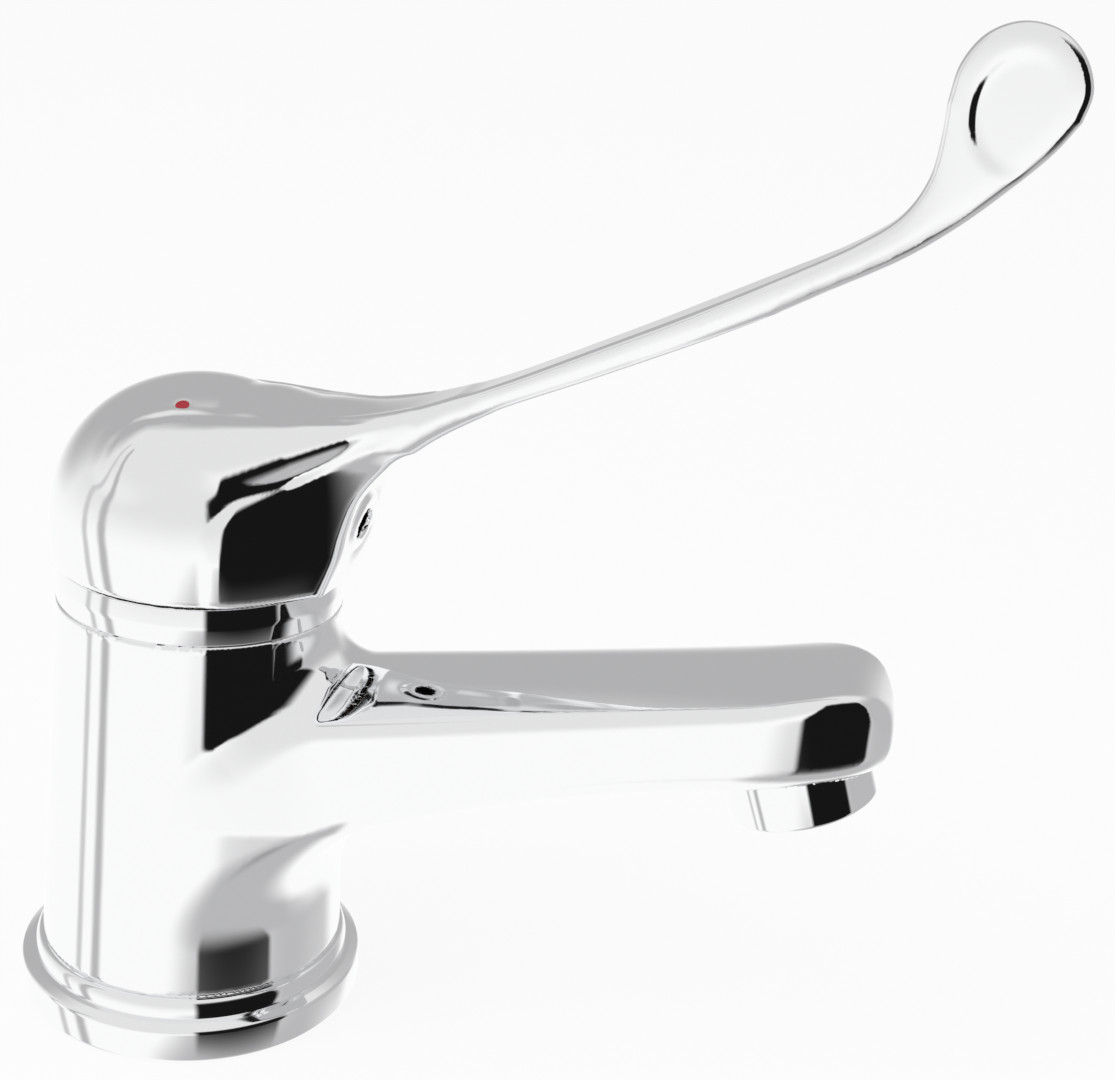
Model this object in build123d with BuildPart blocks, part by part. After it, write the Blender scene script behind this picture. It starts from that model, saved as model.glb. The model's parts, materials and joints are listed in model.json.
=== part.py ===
from build123d import *
from math import asin, atan2, cos, degrees, hypot, radians, sin, tan
import os

# Elbow lever tap: a single-lever basin mixer whose long lever ends in an upright elbow paddle.
# Millimetres. Origin on the worktop at the middle of the base, +Z up, +X towards the spout.
# Hot is on the -Y side and cold on the +Y side.

os.makedirs("parts", exist_ok=True)

# Shared by every cut and fit
overrun = 1.0
slip = 0.1
pin_fit = 0.05
loose = 0.2
face_gap = 0.3
tiny = 0.01

# Base ring
ring_radius = 30.0
ring_width = 9.0
ring_wall_height = 6.1
ring_height = 10.2
ring_bore_depth = 7.0
ring_edge = 0.9
ring_groove_inset = 2.4
ring_groove_height = 7.2
cove_radius = 3.9
seal_inset = 6.8
seal_width = 3.0
seal_depth = 1.5
body_seal_inset = 3.1
body_seal_width = 1.6
body_seal_depth = 1.2

# Body column
foot_inset = 3.7
shoulder_radius = 24.0
body_top = 73.5
spigot_inset = 7.6
recess_inset = 11.5
recess_top = 16.0

# Supplies and fixing under the body
inlet_x = 4.5
inlet_y = 7.5
inlet_thread_radius = 4.5
inlet_thread_length = 10.0
inlet_way_radius = 2.4
stud_inset = 8.5
stud_thread_radius = 3.4
stud_thread_length = 12.0

# Cartridge chamber in the body
chamber_depth = 29.5
chamber_radius = 17.6
nut_seat_depth = 7.5
nut_thread_radius = 19.5
peg_x = -8.0
peg_y = 11.0
peg_radius = 1.5
peg_height = 2.0

# Spout: sizes of its section at the column's axis, and how they rise along the reach
spout_reach = 118.5
spout_half_width = 16.0
spout_root_x = 6.0
tip_radius = 15.5
underside_drop = 49.9
shoulder_drop = 20.9
crown_drop = 12.1
underside_slope_share = 0.603
underside_bow = 28.8
shoulder_slope_share = 0.251
crown_slope_share = 0.193
spout_under_edge = 4.0
nose_height = 12.0
nose_length = 13.0
nose_radius = 12.5
spout_station_shares = (0.4, 0.76)
nose_drop = 13.27
blend_radius = 6.0
spout_wall = 3.6
spout_hollow_start = 31.0
spout_hollow_margin = 24.5

# Aerator, tilted forward under the spout's tip
mouth_inset = 16.1
mouth_rise = 1.87
mouth_tilt = 19.5
mouth_bore_radius = 11.6
mouth_way_radius = 8.0
mouth_way_depth = 8.6
aerator_radius = 12.0
aerator_length = 9.2
aerator_neck_length = 5.0
aerator_bore_radius = 10.2
aerator_lip = 1.0
aerator_edge = 0.6
aerator_seal_height = 1.6
screen_thickness = 1.0
screen_recess = 1.2
screen_cell_radius = 0.85
screen_pitch = 2.1
screen_rings = 4
screen_cell_sides = 6
diffuser_hole_radius = 1.5
diffuser_pitch = 5.4
diffuser_holes = 6

# Waterway from the chamber down, forward and up into the spout
outlet_x = -5.0
outlet_way_radius = 2.8
waterway_drop = 7.5
waterway_turn_x = 19.5
waterway_rise_x = 25.5
waterway_rise = 6.0
waterway_end_x = 34.0
waterway_end_rise = 9.5
waterway_bend = 6.0

# Lever pivot and swing
pivot_drop = 0.5
lift_angle = 25.0
swivel_angle = 50.0
stem_lean = lift_angle / 2
stem_arm = 12.5

# Trim ring on the body's top
trim_height = 6.3
trim_inner_radius = 19.8
trim_inset = 0.8
trim_outer_shares = ((1.0, 0.16), (1.0, 0.48), (0.979, 0.937))

# Cartridge
cartridge_radius = 17.4
base_plate_height = 6.0
port_inlet_radius = 2.2
port_outlet_radius = 2.8
port_seal_width = 1.6
port_seal_height = 1.5
disc_seal_depth = 1.0
disc_seal_width = 1.3
fixed_disc_height = 3.5
kidney_angle = 34.0
moving_disc_radius = 11.0
moving_disc_height = 3.2
mixing_radius = 5.7
mixing_tail_radius = 2.8
mixing_tail_x = 6.0
mixing_depth = 1.8
notch_width = 4.0
notch_depth = 1.6
lug_height = 2.0
housing_bore_radius = 15.0
carriage_height = 6.4
key_length = 14.0
key_width = 8.0
key_height = 1.8
ball_radius = 2.5
pocket_floor = 1.0
pocket_mouth_radius = 3.0
pocket_mouth_depth = 2.9
carrier_flange_radius = 14.6
neck_radius = 11.0
neck_rise = 7.0
collar_radius = 14.0
collar_rise = 6.0
housing_drop = 3.0
top_plate = 3.4
pin_radius = 2.0
pin_length = 21.0
stem_width = 8.0
stem_thickness = 8.0
stem_arm_radius = 1.7
stem_eye_radius = 5.2
stem_length = 27.0
stem_bevel = 0.8
slot_length = 13.4
neck_seal_rise = 3.2
neck_seal_height = 1.6
neck_seal_depth = 1.3
limit_ring_height = 1.4
limit_ring_width = 1.2
stop_lug_length = 1.6
stop_lug_width = 4.0
stop_block_width = 3.0
stop_play = 1.0
nut_rise = 4.9
nut_bore_radius = 14.3
nut_thread_outer = 19.4
nut_slot_width = 3.0
nut_slot_depth = 2.2
nut_slots = 6

# Handle cap: a side arc and a crown arc over the rim, tangent to each other
rim_gap = 0.5
rim_inner_radius = 23.7
rim_outer_radius = 24.3
cap_radius = 25.1
cap_flare_height = 7.7
cap_side_radius = 22.7
crown_angle = 62.7
cap_wall = 2.0
boss_radius = 8.5
boss_start = 16.5
screw_boss_radius = 5.0

# Lever: side outline and plan outline
lever_reach = 130.8
lever_rise = 68.52
lever_half_width = 10.6
paddle_half_width = 2.1
lever_edge = 1.0
junction_radius = 5.0
lever_root_shares = ((0.0, 0.872), (0.4, 0.933), (0.8, 0.962))
lever_upper_shares = ((0.046, -0.006), (0.179, 0.057), (0.387, 0.22), (0.614, 0.413),
                      (0.746, 0.54), (0.805, 0.652), (0.816, 0.835))
head_shares = ((0.907, 1.0), (0.992, 0.798))
lever_lower_shares = ((0.911, 0.66), (0.789, 0.49), (0.614, 0.332), (0.387, 0.151),
                      (0.207, 0.012), (0.103, -0.107))
chin_shares = ((1.131, 0.471), (1.116, 0.327), (1.052, 0.167), (0.98, 0.0))
plan_shares = ((0.0, 0.99), (0.122, 1.0), (0.229, 0.868), (0.306, 0.66), (0.382, 0.519),
               (0.535, 0.509), (0.673, 0.594), (0.742, 0.566), (0.795, 0.358))

# Recess in both faces of the paddle
paddle_recess_depth = 0.6
paddle_recess_inset = 9.6
paddle_recess_drop = 12.2
paddle_recess_width = 14.2
paddle_recess_height = 17.4

# Grub screw behind the hole in the chin
screw_hole_radius = 2.55
screw_radius = 2.45
screw_length = 6.0
screw_key_width = 2.5
screw_key_depth = 3.0
screw_key_sides = 6
screw_distance = 23.5

# Hot and cold marks
mark_x = 0.9
mark_y = 10.6
mark_radius = 1.1
mark_depth = 0.8
mark_sink = 2.7

# Sizes that follow from those above
ring_bore_radius = ring_radius - ring_width
ring_groove_radius = ring_radius - ring_groove_inset
seal_inner_radius = ring_radius - seal_inset
foot_radius = ring_radius - foot_inset
body_seal_inner = foot_radius - body_seal_inset
spigot_radius = ring_radius - spigot_inset
recess_radius = ring_radius - recess_inset
stud_x = stud_inset - recess_radius
chamber_floor = body_top - chamber_depth
nut_seat = body_top - nut_seat_depth
nut_top = body_top + nut_rise
root_underside = body_top - underside_drop
root_shoulder = body_top - shoulder_drop
root_crown = body_top - crown_drop
nose_bottom = root_crown + spout_reach * crown_slope_share - nose_drop
spout_hollow_end = spout_reach - spout_hollow_margin
mouth_x = spout_reach - mouth_inset
waterway_level = chamber_floor - waterway_drop
waterway_rise_z = chamber_floor + waterway_rise
waterway_end_z = chamber_floor + waterway_end_rise
pivot_height = body_top - pivot_drop
neck_top = pivot_height + neck_rise
collar_top = pivot_height + collar_rise
shoulder_top = pivot_height - housing_drop
neck_seal_bottom = pivot_height + neck_seal_rise
rim_height = body_top + trim_height + rim_gap
cap_widest = rim_height + cap_flare_height
column_taper_share = (foot_radius - shoulder_radius) / (body_top - ring_height)
lean = radians(stem_lean)
slide_rest = stem_arm * sin(lean)
base_plate_top = chamber_floor + base_plate_height
fixed_disc_top = base_plate_top + fixed_disc_height
moving_disc_top = fixed_disc_top + moving_disc_height
carriage_top = moving_disc_top + carriage_height
carrier_bottom = carriage_top + face_gap
flange_top = shoulder_top - top_plate - loose
slot_width = stem_width + loose
chin_reach = cap_radius * chin_shares[0][0]
crown_centre = cap_widest - (cap_radius - cap_side_radius) * tan(radians(crown_angle))
crown_radius = cap_side_radius + (cap_radius - cap_side_radius) / cos(radians(crown_angle))
cap_top = crown_centre + crown_radius
lever_top = cap_top + lever_rise
paddle_recess_x = lever_reach - paddle_recess_inset
paddle_recess_z = lever_top - paddle_recess_drop

stem_side = Plane(origin=(0, 0, pivot_height), x_dir=(cos(lean), 0, -sin(lean)), z_dir=(0, -1, 0))
stem_axis = Plane(origin=(0, 0, pivot_height), x_dir=(cos(lean), 0, -sin(lean)),
                  z_dir=(sin(lean), 0, cos(lean)))
screw_plane = Plane(origin=stem_axis.from_local_coords((0, 0, screw_distance)),
                    x_dir=(0, 1, 0), z_dir=(cos(lean), 0, -sin(lean)))

def underside_at(x):
    """Height of the spout's underside at x, which flattens towards the tip."""
    bow = underside_bow * (x / spout_reach) ** 2
    return root_underside + x * underside_slope_share - bow


mouth_z = underside_at(mouth_x) + mouth_rise
tilt = radians(mouth_tilt)
mouth = Plane(origin=(mouth_x, 0, mouth_z), x_dir=(cos(tilt), 0, sin(tilt)),
              z_dir=(-sin(tilt), 0, cos(tilt)))


def spout_section(x, inset):
    """The spout's flat-sided, crowned section at x, drawn in by a wall."""
    half = spout_half_width - inset
    under = underside_at(x) + inset
    shoulder = root_shoulder + x * shoulder_slope_share - inset
    crown = root_crown + x * crown_slope_share - inset
    with BuildSketch(Plane.YZ.offset(x)) as section:
        with BuildLine():
            Polyline((-half, shoulder), (-half, under), (half, under), (half, shoulder))
            ThreePointArc((half, shoulder), (0, crown), (-half, shoulder))
        make_face()
        fillet(section.vertices().sort_by(Axis.Y)[:2], radius=spout_under_edge - inset / 2)
    return section.sketch


def cap_profile(inset, rim_radius):
    """Half the cap's section, drawn in by a wall, from the axis out to a rim radius."""
    with BuildSketch(Plane.XZ) as profile:
        with BuildLine():
            Line((0, rim_height), (rim_radius, rim_height))
            TangentArc((cap_radius - inset, cap_widest), (rim_radius, rim_height),
                       tangent=(0, -1))
            CenterArc((cap_radius - cap_side_radius, cap_widest), cap_side_radius - inset,
                      0, crown_angle)
            CenterArc((0, crown_centre), crown_radius - inset, crown_angle, 90 - crown_angle)
            Line((0, cap_top - inset), (0, rim_height))
        make_face()
    return profile.sketch


def on_cap(share):
    """A point of the XZ plane from shares of the cap's radius and height."""
    return (share[0] * cap_radius, rim_height + share[1] * (cap_top - rim_height))


def on_lever(share):
    """A point of the XZ plane from shares of the lever's run and rise beyond the cap."""
    return (cap_radius + share[0] * (lever_reach - cap_radius),
            cap_top + share[1] * (lever_top - cap_top))


def off_column(point):
    """How far a point lies from the column's tapered side."""
    column = foot_radius - (point.Z - ring_height) * column_taper_share
    return abs(hypot(point.X, point.Y) - column)


def between(edge, low, high):
    """Whether an edge lies above one height and below another."""
    box = edge.bounding_box()
    return box.min.Z > low + slip and box.max.Z < high - slip


# Base ring: upright wall, groove, then a cove up to the body's foot
with BuildPart() as base_ring:
    with BuildSketch(Plane.XZ):
        with BuildLine():
            Polyline((ring_bore_radius, 0), (ring_radius, 0), (ring_radius, ring_wall_height),
                     (ring_groove_radius, ring_groove_height))
            RadiusArc((ring_groove_radius, ring_groove_height), (foot_radius, ring_height),
                      cove_radius)
            Polyline((foot_radius, ring_height), (spigot_radius + slip, ring_height),
                     (spigot_radius + slip, ring_bore_depth), (ring_bore_radius, ring_bore_depth),
                     (ring_bore_radius, 0))
        make_face()
    revolve(axis=Axis.Z)
    outer_edges = base_ring.edges().filter_by(GeomType.CIRCLE).group_by(SortBy.RADIUS)[-1]
    fillet(outer_edges, radius=ring_edge)
    with BuildSketch(Plane.XY):
        Circle(seal_inner_radius + seal_width)
        Circle(seal_inner_radius, mode=Mode.SUBTRACT)
    extrude(amount=seal_depth, mode=Mode.SUBTRACT)
    with BuildSketch(Plane.XY.offset(ring_height)):
        Circle(body_seal_inner + body_seal_width)
        Circle(body_seal_inner, mode=Mode.SUBTRACT)
    extrude(amount=-body_seal_depth, mode=Mode.SUBTRACT)
base_ring.part.label = "base_ring"
export_step(base_ring.part, "parts/base_ring.step")

# Rubber gasket in the ring's underside
with BuildPart() as base_seal:
    with BuildSketch(Plane.XY):
        Circle(seal_inner_radius + seal_width)
        Circle(seal_inner_radius, mode=Mode.SUBTRACT)
    extrude(amount=seal_depth)
base_seal.part.label = "base_seal"
export_step(base_seal.part, "parts/base_seal.step")

# Seal between the ring and the body's foot
with BuildPart() as body_seal:
    with BuildSketch(Plane.XY.offset(ring_height)):
        Circle(body_seal_inner + body_seal_width)
        Circle(body_seal_inner, mode=Mode.SUBTRACT)
    extrude(amount=-body_seal_depth)
body_seal.part.label = "body_seal"
export_step(body_seal.part, "parts/body_seal.step")

# Spout blank: crowned sections along the reach, trimmed to the plan and to the rounded nose
with BuildPart() as spout_blank:
    stations = [share * spout_reach for share in spout_station_shares]
    loft(sections=[spout_section(x, 0)
                   for x in (spout_root_x, *stations, spout_reach + tip_radius)])
    with BuildSketch(Plane.XY):
        with BuildLine():
            tip_start = spout_reach - tip_radius
            Polyline((tip_start, -tip_radius), (0, -spout_half_width), (0, spout_half_width),
                     (tip_start, tip_radius))
            ThreePointArc((tip_start, tip_radius), (spout_reach, 0), (tip_start, -tip_radius))
        make_face()
    extrude(amount=cap_top, mode=Mode.INTERSECT)
    with BuildSketch(Plane.XZ):
        with BuildLine():
            Polyline((spout_reach - nose_length, nose_bottom + nose_height), (0, body_top),
                     (0, 0), (spout_reach, 0), (spout_reach, nose_bottom))
            RadiusArc((spout_reach, nose_bottom),
                      (spout_reach - nose_length, nose_bottom + nose_height), -nose_radius)
        make_face()
    extrude(amount=spout_half_width + overrun, both=True, mode=Mode.INTERSECT)

# Body: tapered column and spout in one casting, blended where they meet
with BuildPart() as body:
    with BuildSketch(Plane.XZ):
        with BuildLine():
            Polyline((0, ring_height), (foot_radius, ring_height), (shoulder_radius, body_top),
                     (0, body_top), (0, ring_height))
        make_face()
    revolve(axis=Axis.Z)
    column_edges = body.edges()
    add(spout_blank.part)
    joints = [edge for edge in (body.edges() - column_edges).sort_by(Axis.Z)
              if between(edge, ring_height, body_top)
              and max(off_column(edge @ 0), off_column(edge @ 0.5), off_column(edge @ 1)) < tiny]
    fillet(joints, radius=blend_radius)
    with BuildSketch(Plane.XY.offset(ring_height)):
        Circle(spigot_radius)
    extrude(amount=ring_bore_depth + loose - ring_height)
    with BuildSketch(Plane.XY.offset(recess_top)):
        Circle(recess_radius)
    extrude(amount=-recess_top, mode=Mode.SUBTRACT)
    # Cartridge chamber, its thread and the holes for the cartridge's pegs
    with BuildSketch(Plane.XY.offset(chamber_floor)):
        Circle(chamber_radius)
    extrude(amount=body_top - chamber_floor, mode=Mode.SUBTRACT)
    with BuildSketch(Plane.XY.offset(nut_seat)):
        Circle(nut_thread_radius)
    extrude(amount=body_top - nut_seat, mode=Mode.SUBTRACT)
    with BuildSketch(Plane.XY.offset(chamber_floor)):
        with Locations((peg_x, peg_y), (peg_x, -peg_y)):
            Circle(peg_radius + slip)
    extrude(amount=-peg_height - slip, mode=Mode.SUBTRACT)
    # Threaded supplies with their ways up to the chamber, and the stud's thread
    with BuildSketch(Plane.XY.offset(recess_top)):
        with Locations((inlet_x, inlet_y), (inlet_x, -inlet_y)):
            Circle(inlet_thread_radius)
    extrude(amount=inlet_thread_length, mode=Mode.SUBTRACT)
    with BuildSketch(Plane.XY.offset(recess_top)):
        with Locations((inlet_x, inlet_y), (inlet_x, -inlet_y)):
            Circle(inlet_way_radius)
    extrude(amount=chamber_floor - recess_top, mode=Mode.SUBTRACT)
    with BuildSketch(Plane.XY.offset(recess_top)):
        with Locations((stud_x, 0)):
            Circle(stud_thread_radius)
    extrude(amount=stud_thread_length, mode=Mode.SUBTRACT)
    # Waterway under the chamber, then the spout's hollow
    with BuildLine(Plane.XZ):
        FilletPolyline((outlet_x, chamber_floor), (outlet_x, waterway_level),
                       (waterway_turn_x, waterway_level), (waterway_rise_x, waterway_rise_z),
                       (waterway_end_x, waterway_end_z), radius=waterway_bend)
    with BuildSketch(Plane.XY.offset(chamber_floor)):
        with Locations((outlet_x, 0)):
            Circle(outlet_way_radius)
    sweep(mode=Mode.SUBTRACT)
    hollow_middle = (spout_hollow_start + spout_hollow_end) / 2
    loft(sections=[spout_section(x, spout_wall)
                   for x in (spout_hollow_start, hollow_middle, spout_hollow_end)],
         mode=Mode.SUBTRACT)
    # Mouth: seat for the aerator's collar, its thread and the way out of the hollow
    with BuildSketch(mouth):
        Circle(aerator_radius + loose)
    extrude(amount=-aerator_length, mode=Mode.SUBTRACT)
    with BuildSketch(mouth):
        Circle(mouth_bore_radius)
    extrude(amount=aerator_neck_length + aerator_seal_height, mode=Mode.SUBTRACT)
    with BuildSketch(mouth):
        Circle(mouth_way_radius)
    extrude(amount=mouth_way_depth, mode=Mode.SUBTRACT)
body.part.label = "body"
export_step(body.part, "parts/body.step")

# Trim ring: domed collar between the body and the handle, inside the rim's swing
with BuildPart() as trim_ring:
    with BuildSketch(Plane.XZ):
        with BuildLine():
            foot = (shoulder_radius - tiny, body_top)
            crown_points = [(share[0] * shoulder_radius, body_top + share[1] * trim_height)
                            for share in trim_outer_shares]
            crest = (shoulder_radius - trim_inset, body_top + trim_height)
            Spline(foot, *crown_points, crest)
            Polyline(crest, (trim_inner_radius, body_top + trim_height),
                     (trim_inner_radius, body_top), foot)
        make_face()
    revolve(axis=Axis.Z)
trim_ring.part.label = "trim_ring"
export_step(trim_ring.part, "parts/trim_ring.step")

# Cartridge base: port plate with pegs, seats for the rings below and the seal above
with BuildPart() as cartridge_base:
    with BuildSketch(Plane.XY.offset(chamber_floor)):
        Circle(cartridge_radius)
    extrude(amount=base_plate_height)
    with BuildSketch(Plane.XY.offset(chamber_floor)):
        with Locations((peg_x, peg_y), (peg_x, -peg_y)):
            Circle(peg_radius)
    extrude(amount=-peg_height)
    with BuildSketch(Plane.XY.offset(chamber_floor)):
        with Locations((inlet_x, inlet_y), (inlet_x, -inlet_y)):
            Circle(port_inlet_radius)
        with Locations((outlet_x, 0)):
            Circle(port_outlet_radius)
    extrude(amount=base_plate_height, mode=Mode.SUBTRACT)
    with BuildSketch(Plane.XY.offset(chamber_floor)):
        with Locations((inlet_x, inlet_y), (inlet_x, -inlet_y)):
            Circle(port_inlet_radius + port_seal_width)
        with Locations((outlet_x, 0)):
            Circle(port_outlet_radius + port_seal_width)
    extrude(amount=port_seal_height, mode=Mode.SUBTRACT)
    with BuildSketch(Plane.XY.offset(base_plate_top)) as seal_outline:
        with Locations((inlet_x, inlet_y), (inlet_x, -inlet_y)):
            Circle(port_inlet_radius + disc_seal_width)
        with Locations((outlet_x, 0)):
            Circle(port_outlet_radius + disc_seal_width)
        with Locations(Location((inlet_x / 2, inlet_y / 2), degrees(atan2(inlet_y, inlet_x))),
                       Location((inlet_x / 2, -inlet_y / 2), degrees(atan2(-inlet_y, inlet_x)))):
            Rectangle(hypot(inlet_x, inlet_y), disc_seal_width)
        with Locations((outlet_x / 2, 0)):
            Rectangle(abs(outlet_x), disc_seal_width)
    extrude(amount=-disc_seal_depth, mode=Mode.SUBTRACT)
cartridge_base.part.label = "cartridge_base"
export_step(cartridge_base.part, "parts/cartridge_base.step")

# Three rings that seal the ports against the chamber's floor
with BuildPart() as port_seals:
    with BuildSketch(Plane.XY.offset(chamber_floor)):
        with Locations((inlet_x, inlet_y), (inlet_x, -inlet_y)):
            Circle(port_inlet_radius + port_seal_width)
        with Locations((outlet_x, 0)):
            Circle(port_outlet_radius + port_seal_width)
        with Locations((inlet_x, inlet_y), (inlet_x, -inlet_y)):
            Circle(port_inlet_radius, mode=Mode.SUBTRACT)
        with Locations((outlet_x, 0)):
            Circle(port_outlet_radius, mode=Mode.SUBTRACT)
    extrude(amount=port_seal_height)
port_seals.part.label = "port_seals"
export_step(port_seals.part, "parts/port_seals.step")

# Shaped seal between the port plate and the fixed disc
with BuildPart() as disc_seal:
    add(seal_outline.sketch)
    extrude(amount=-disc_seal_depth)
    with BuildSketch(Plane.XY.offset(base_plate_top)):
        with Locations((inlet_x, inlet_y), (inlet_x, -inlet_y)):
            Circle(port_inlet_radius)
        with Locations((outlet_x, 0)):
            Circle(port_outlet_radius)
    extrude(amount=-disc_seal_depth, mode=Mode.SUBTRACT)
disc_seal.part.label = "disc_seal"
export_step(disc_seal.part, "parts/disc_seal.step")

# Fixed ceramic disc: one round outlet and two kidney inlets
with BuildPart() as fixed_disc:
    with BuildSketch(Plane.XY.offset(base_plate_top)):
        Circle(housing_bore_radius - loose)
        with Locations((outlet_x, 0)):
            Circle(port_outlet_radius, mode=Mode.SUBTRACT)
        inlet_angle = degrees(atan2(inlet_y, inlet_x))
        for side in (inlet_angle, -inlet_angle):
            kidney = CenterArc((0, 0), hypot(inlet_x, inlet_y), side - kidney_angle / 2,
                               kidney_angle, mode=Mode.PRIVATE)
            SlotArc(kidney, port_inlet_radius + port_inlet_radius, mode=Mode.SUBTRACT)
    extrude(amount=fixed_disc_height)
fixed_disc.part.label = "fixed_disc"
export_step(fixed_disc.part, "parts/fixed_disc.step")

# Moving ceramic disc: blind mixing recess below, notches for the carriage's lugs in its rim
with BuildPart() as moving_disc:
    with BuildSketch(Plane.XY.offset(fixed_disc_top)):
        with Locations((-slide_rest, 0)):
            Circle(moving_disc_radius)
    extrude(amount=moving_disc_height)
    with BuildSketch(Plane.XY.offset(fixed_disc_top)):
        with BuildLine():
            CenterArc((0, 0), mixing_radius, 0, 360)
            CenterArc((-slide_rest - mixing_tail_x, 0), mixing_tail_radius, 0, 360)
        make_hull()
    extrude(amount=mixing_depth, mode=Mode.SUBTRACT)
    with BuildSketch(Plane.XY.offset(moving_disc_top)):
        with Locations((-slide_rest, moving_disc_radius), (-slide_rest, -moving_disc_radius)):
            Rectangle(notch_width + loose, notch_depth + notch_depth + loose)
    extrude(amount=-lug_height - slip, mode=Mode.SUBTRACT)
moving_disc.part.label = "moving_disc"
export_step(moving_disc.part, "parts/moving_disc.step")

# Carriage: carries the moving disc by two lugs, its key slides in the rotor's groove
with BuildPart() as disc_carriage:
    with BuildSketch(Plane.XY.offset(moving_disc_top)):
        with Locations((-slide_rest, 0)):
            Circle(moving_disc_radius)
    extrude(amount=carriage_height)
    with BuildSketch(Plane.XY.offset(moving_disc_top)):
        with Locations((-slide_rest, 0)):
            Circle(moving_disc_radius)
        with Locations((-slide_rest, moving_disc_radius), (-slide_rest, -moving_disc_radius)):
            Rectangle(notch_width, notch_depth + notch_depth, mode=Mode.INTERSECT)
    extrude(amount=-lug_height)
    with BuildSketch(Plane.XY.offset(carriage_top)):
        with Locations((-slide_rest, 0)):
            Rectangle(key_length, key_width)
    extrude(amount=key_height)
    with BuildSketch(Plane.XY.offset(carriage_top + key_height)):
        with Locations((-slide_rest, 0)):
            Circle(ball_radius + slip)
    extrude(amount=pocket_floor - carriage_height - key_height, mode=Mode.SUBTRACT)
    with BuildSketch(Plane.XY.offset(carriage_top + key_height)):
        with Locations((-slide_rest, 0)):
            Circle(pocket_mouth_radius)
    extrude(amount=-pocket_mouth_depth, mode=Mode.SUBTRACT)
disc_carriage.part.label = "disc_carriage"
export_step(disc_carriage.part, "parts/disc_carriage.step")

# Cartridge housing: shell with a top plate and a collar that the rotor's neck turns in
with BuildPart() as cartridge_housing:
    with BuildSketch(Plane.XZ):
        with BuildLine():
            Polyline((housing_bore_radius, base_plate_top), (cartridge_radius, base_plate_top),
                     (cartridge_radius, shoulder_top), (collar_radius, shoulder_top),
                     (collar_radius, collar_top), (neck_radius + slip, collar_top),
                     (neck_radius + slip, shoulder_top - top_plate),
                     (housing_bore_radius, shoulder_top - top_plate),
                     (housing_bore_radius, base_plate_top))
        make_face()
    revolve(axis=Axis.Z)
cartridge_housing.part.label = "cartridge_housing"
export_step(cartridge_housing.part, "parts/cartridge_housing.step")

# Rotor: flange and neck with the stem's slot, the pin's hole, a seal groove and a stop lug
with BuildPart() as stem_carrier:
    with BuildSketch(Plane.XY.offset(carrier_bottom)):
        Circle(carrier_flange_radius)
    extrude(amount=flange_top - carrier_bottom)
    with BuildSketch(Plane.XY.offset(carrier_bottom)):
        Circle(neck_radius)
    extrude(amount=neck_top - carrier_bottom)
    with BuildSketch(Plane.XY.offset(neck_top)):
        with Locations((-neck_radius / 2 - stop_lug_length / 2, 0)):
            Rectangle(neck_radius + stop_lug_length, stop_lug_width)
    extrude(amount=collar_top + loose - neck_top)
    with BuildSketch(Plane.XY.offset(neck_top)):
        Rectangle(slot_length, slot_width)
    extrude(amount=carrier_bottom - neck_top, mode=Mode.SUBTRACT)
    with BuildSketch(Plane.XY.offset(carrier_bottom)):
        Rectangle(carrier_flange_radius * 2, slot_width)
    extrude(amount=key_height, mode=Mode.SUBTRACT)
    with BuildSketch(Plane.XZ):
        with Locations((0, pivot_height)):
            Circle(pin_radius + pin_fit)
    extrude(amount=neck_radius + overrun, both=True, mode=Mode.SUBTRACT)
    with BuildSketch(Plane.XY.offset(neck_seal_bottom)):
        Circle(neck_radius + overrun)
        Circle(neck_radius - neck_seal_depth, mode=Mode.SUBTRACT)
    extrude(amount=neck_seal_height, mode=Mode.SUBTRACT)
stem_carrier.part.label = "stem_carrier"
export_step(stem_carrier.part, "parts/stem_carrier.step")

# Seal round the rotor's neck
with BuildPart() as carrier_seal:
    with BuildSketch(Plane.XY.offset(neck_seal_bottom)):
        Circle(neck_radius)
        Circle(neck_radius - neck_seal_depth, mode=Mode.SUBTRACT)
    extrude(amount=neck_seal_height)
carrier_seal.part.label = "carrier_seal"
export_step(carrier_seal.part, "parts/carrier_seal.step")

# Steel pin that the stem tips on
with BuildPart() as pivot_pin:
    with BuildSketch(Plane.XZ):
        with Locations((0, pivot_height)):
            Circle(pin_radius)
    extrude(amount=pin_length / 2, both=True)
pivot_pin.part.label = "pivot_pin"
export_step(pivot_pin.part, "parts/pivot_pin.step")

# Stem: square head, round eye on the pin, and an arm with a ball foot
with BuildPart() as stem:
    with BuildSketch(stem_side):
        Circle(stem_eye_radius)
        with Locations((0, stem_length / 2)):
            Rectangle(stem_thickness, stem_length)
    extrude(amount=stem_width / 2, both=True)
    chamfer(stem.faces().sort_by(Axis((0, 0, 0), (sin(lean), 0, cos(lean))))[-1].edges(),
            length=stem_bevel)
    with BuildSketch(stem_axis):
        Circle(stem_arm_radius)
    extrude(amount=-stem_arm)
    with Locations(stem_axis.from_local_coords((0, 0, -stem_arm))):
        Sphere(ball_radius)
    with BuildSketch(stem_side):
        Circle(pin_radius + slip)
    extrude(amount=stem_width, both=True, mode=Mode.SUBTRACT)
stem.part.label = "stem"
export_step(stem.part, "parts/stem.step")

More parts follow.
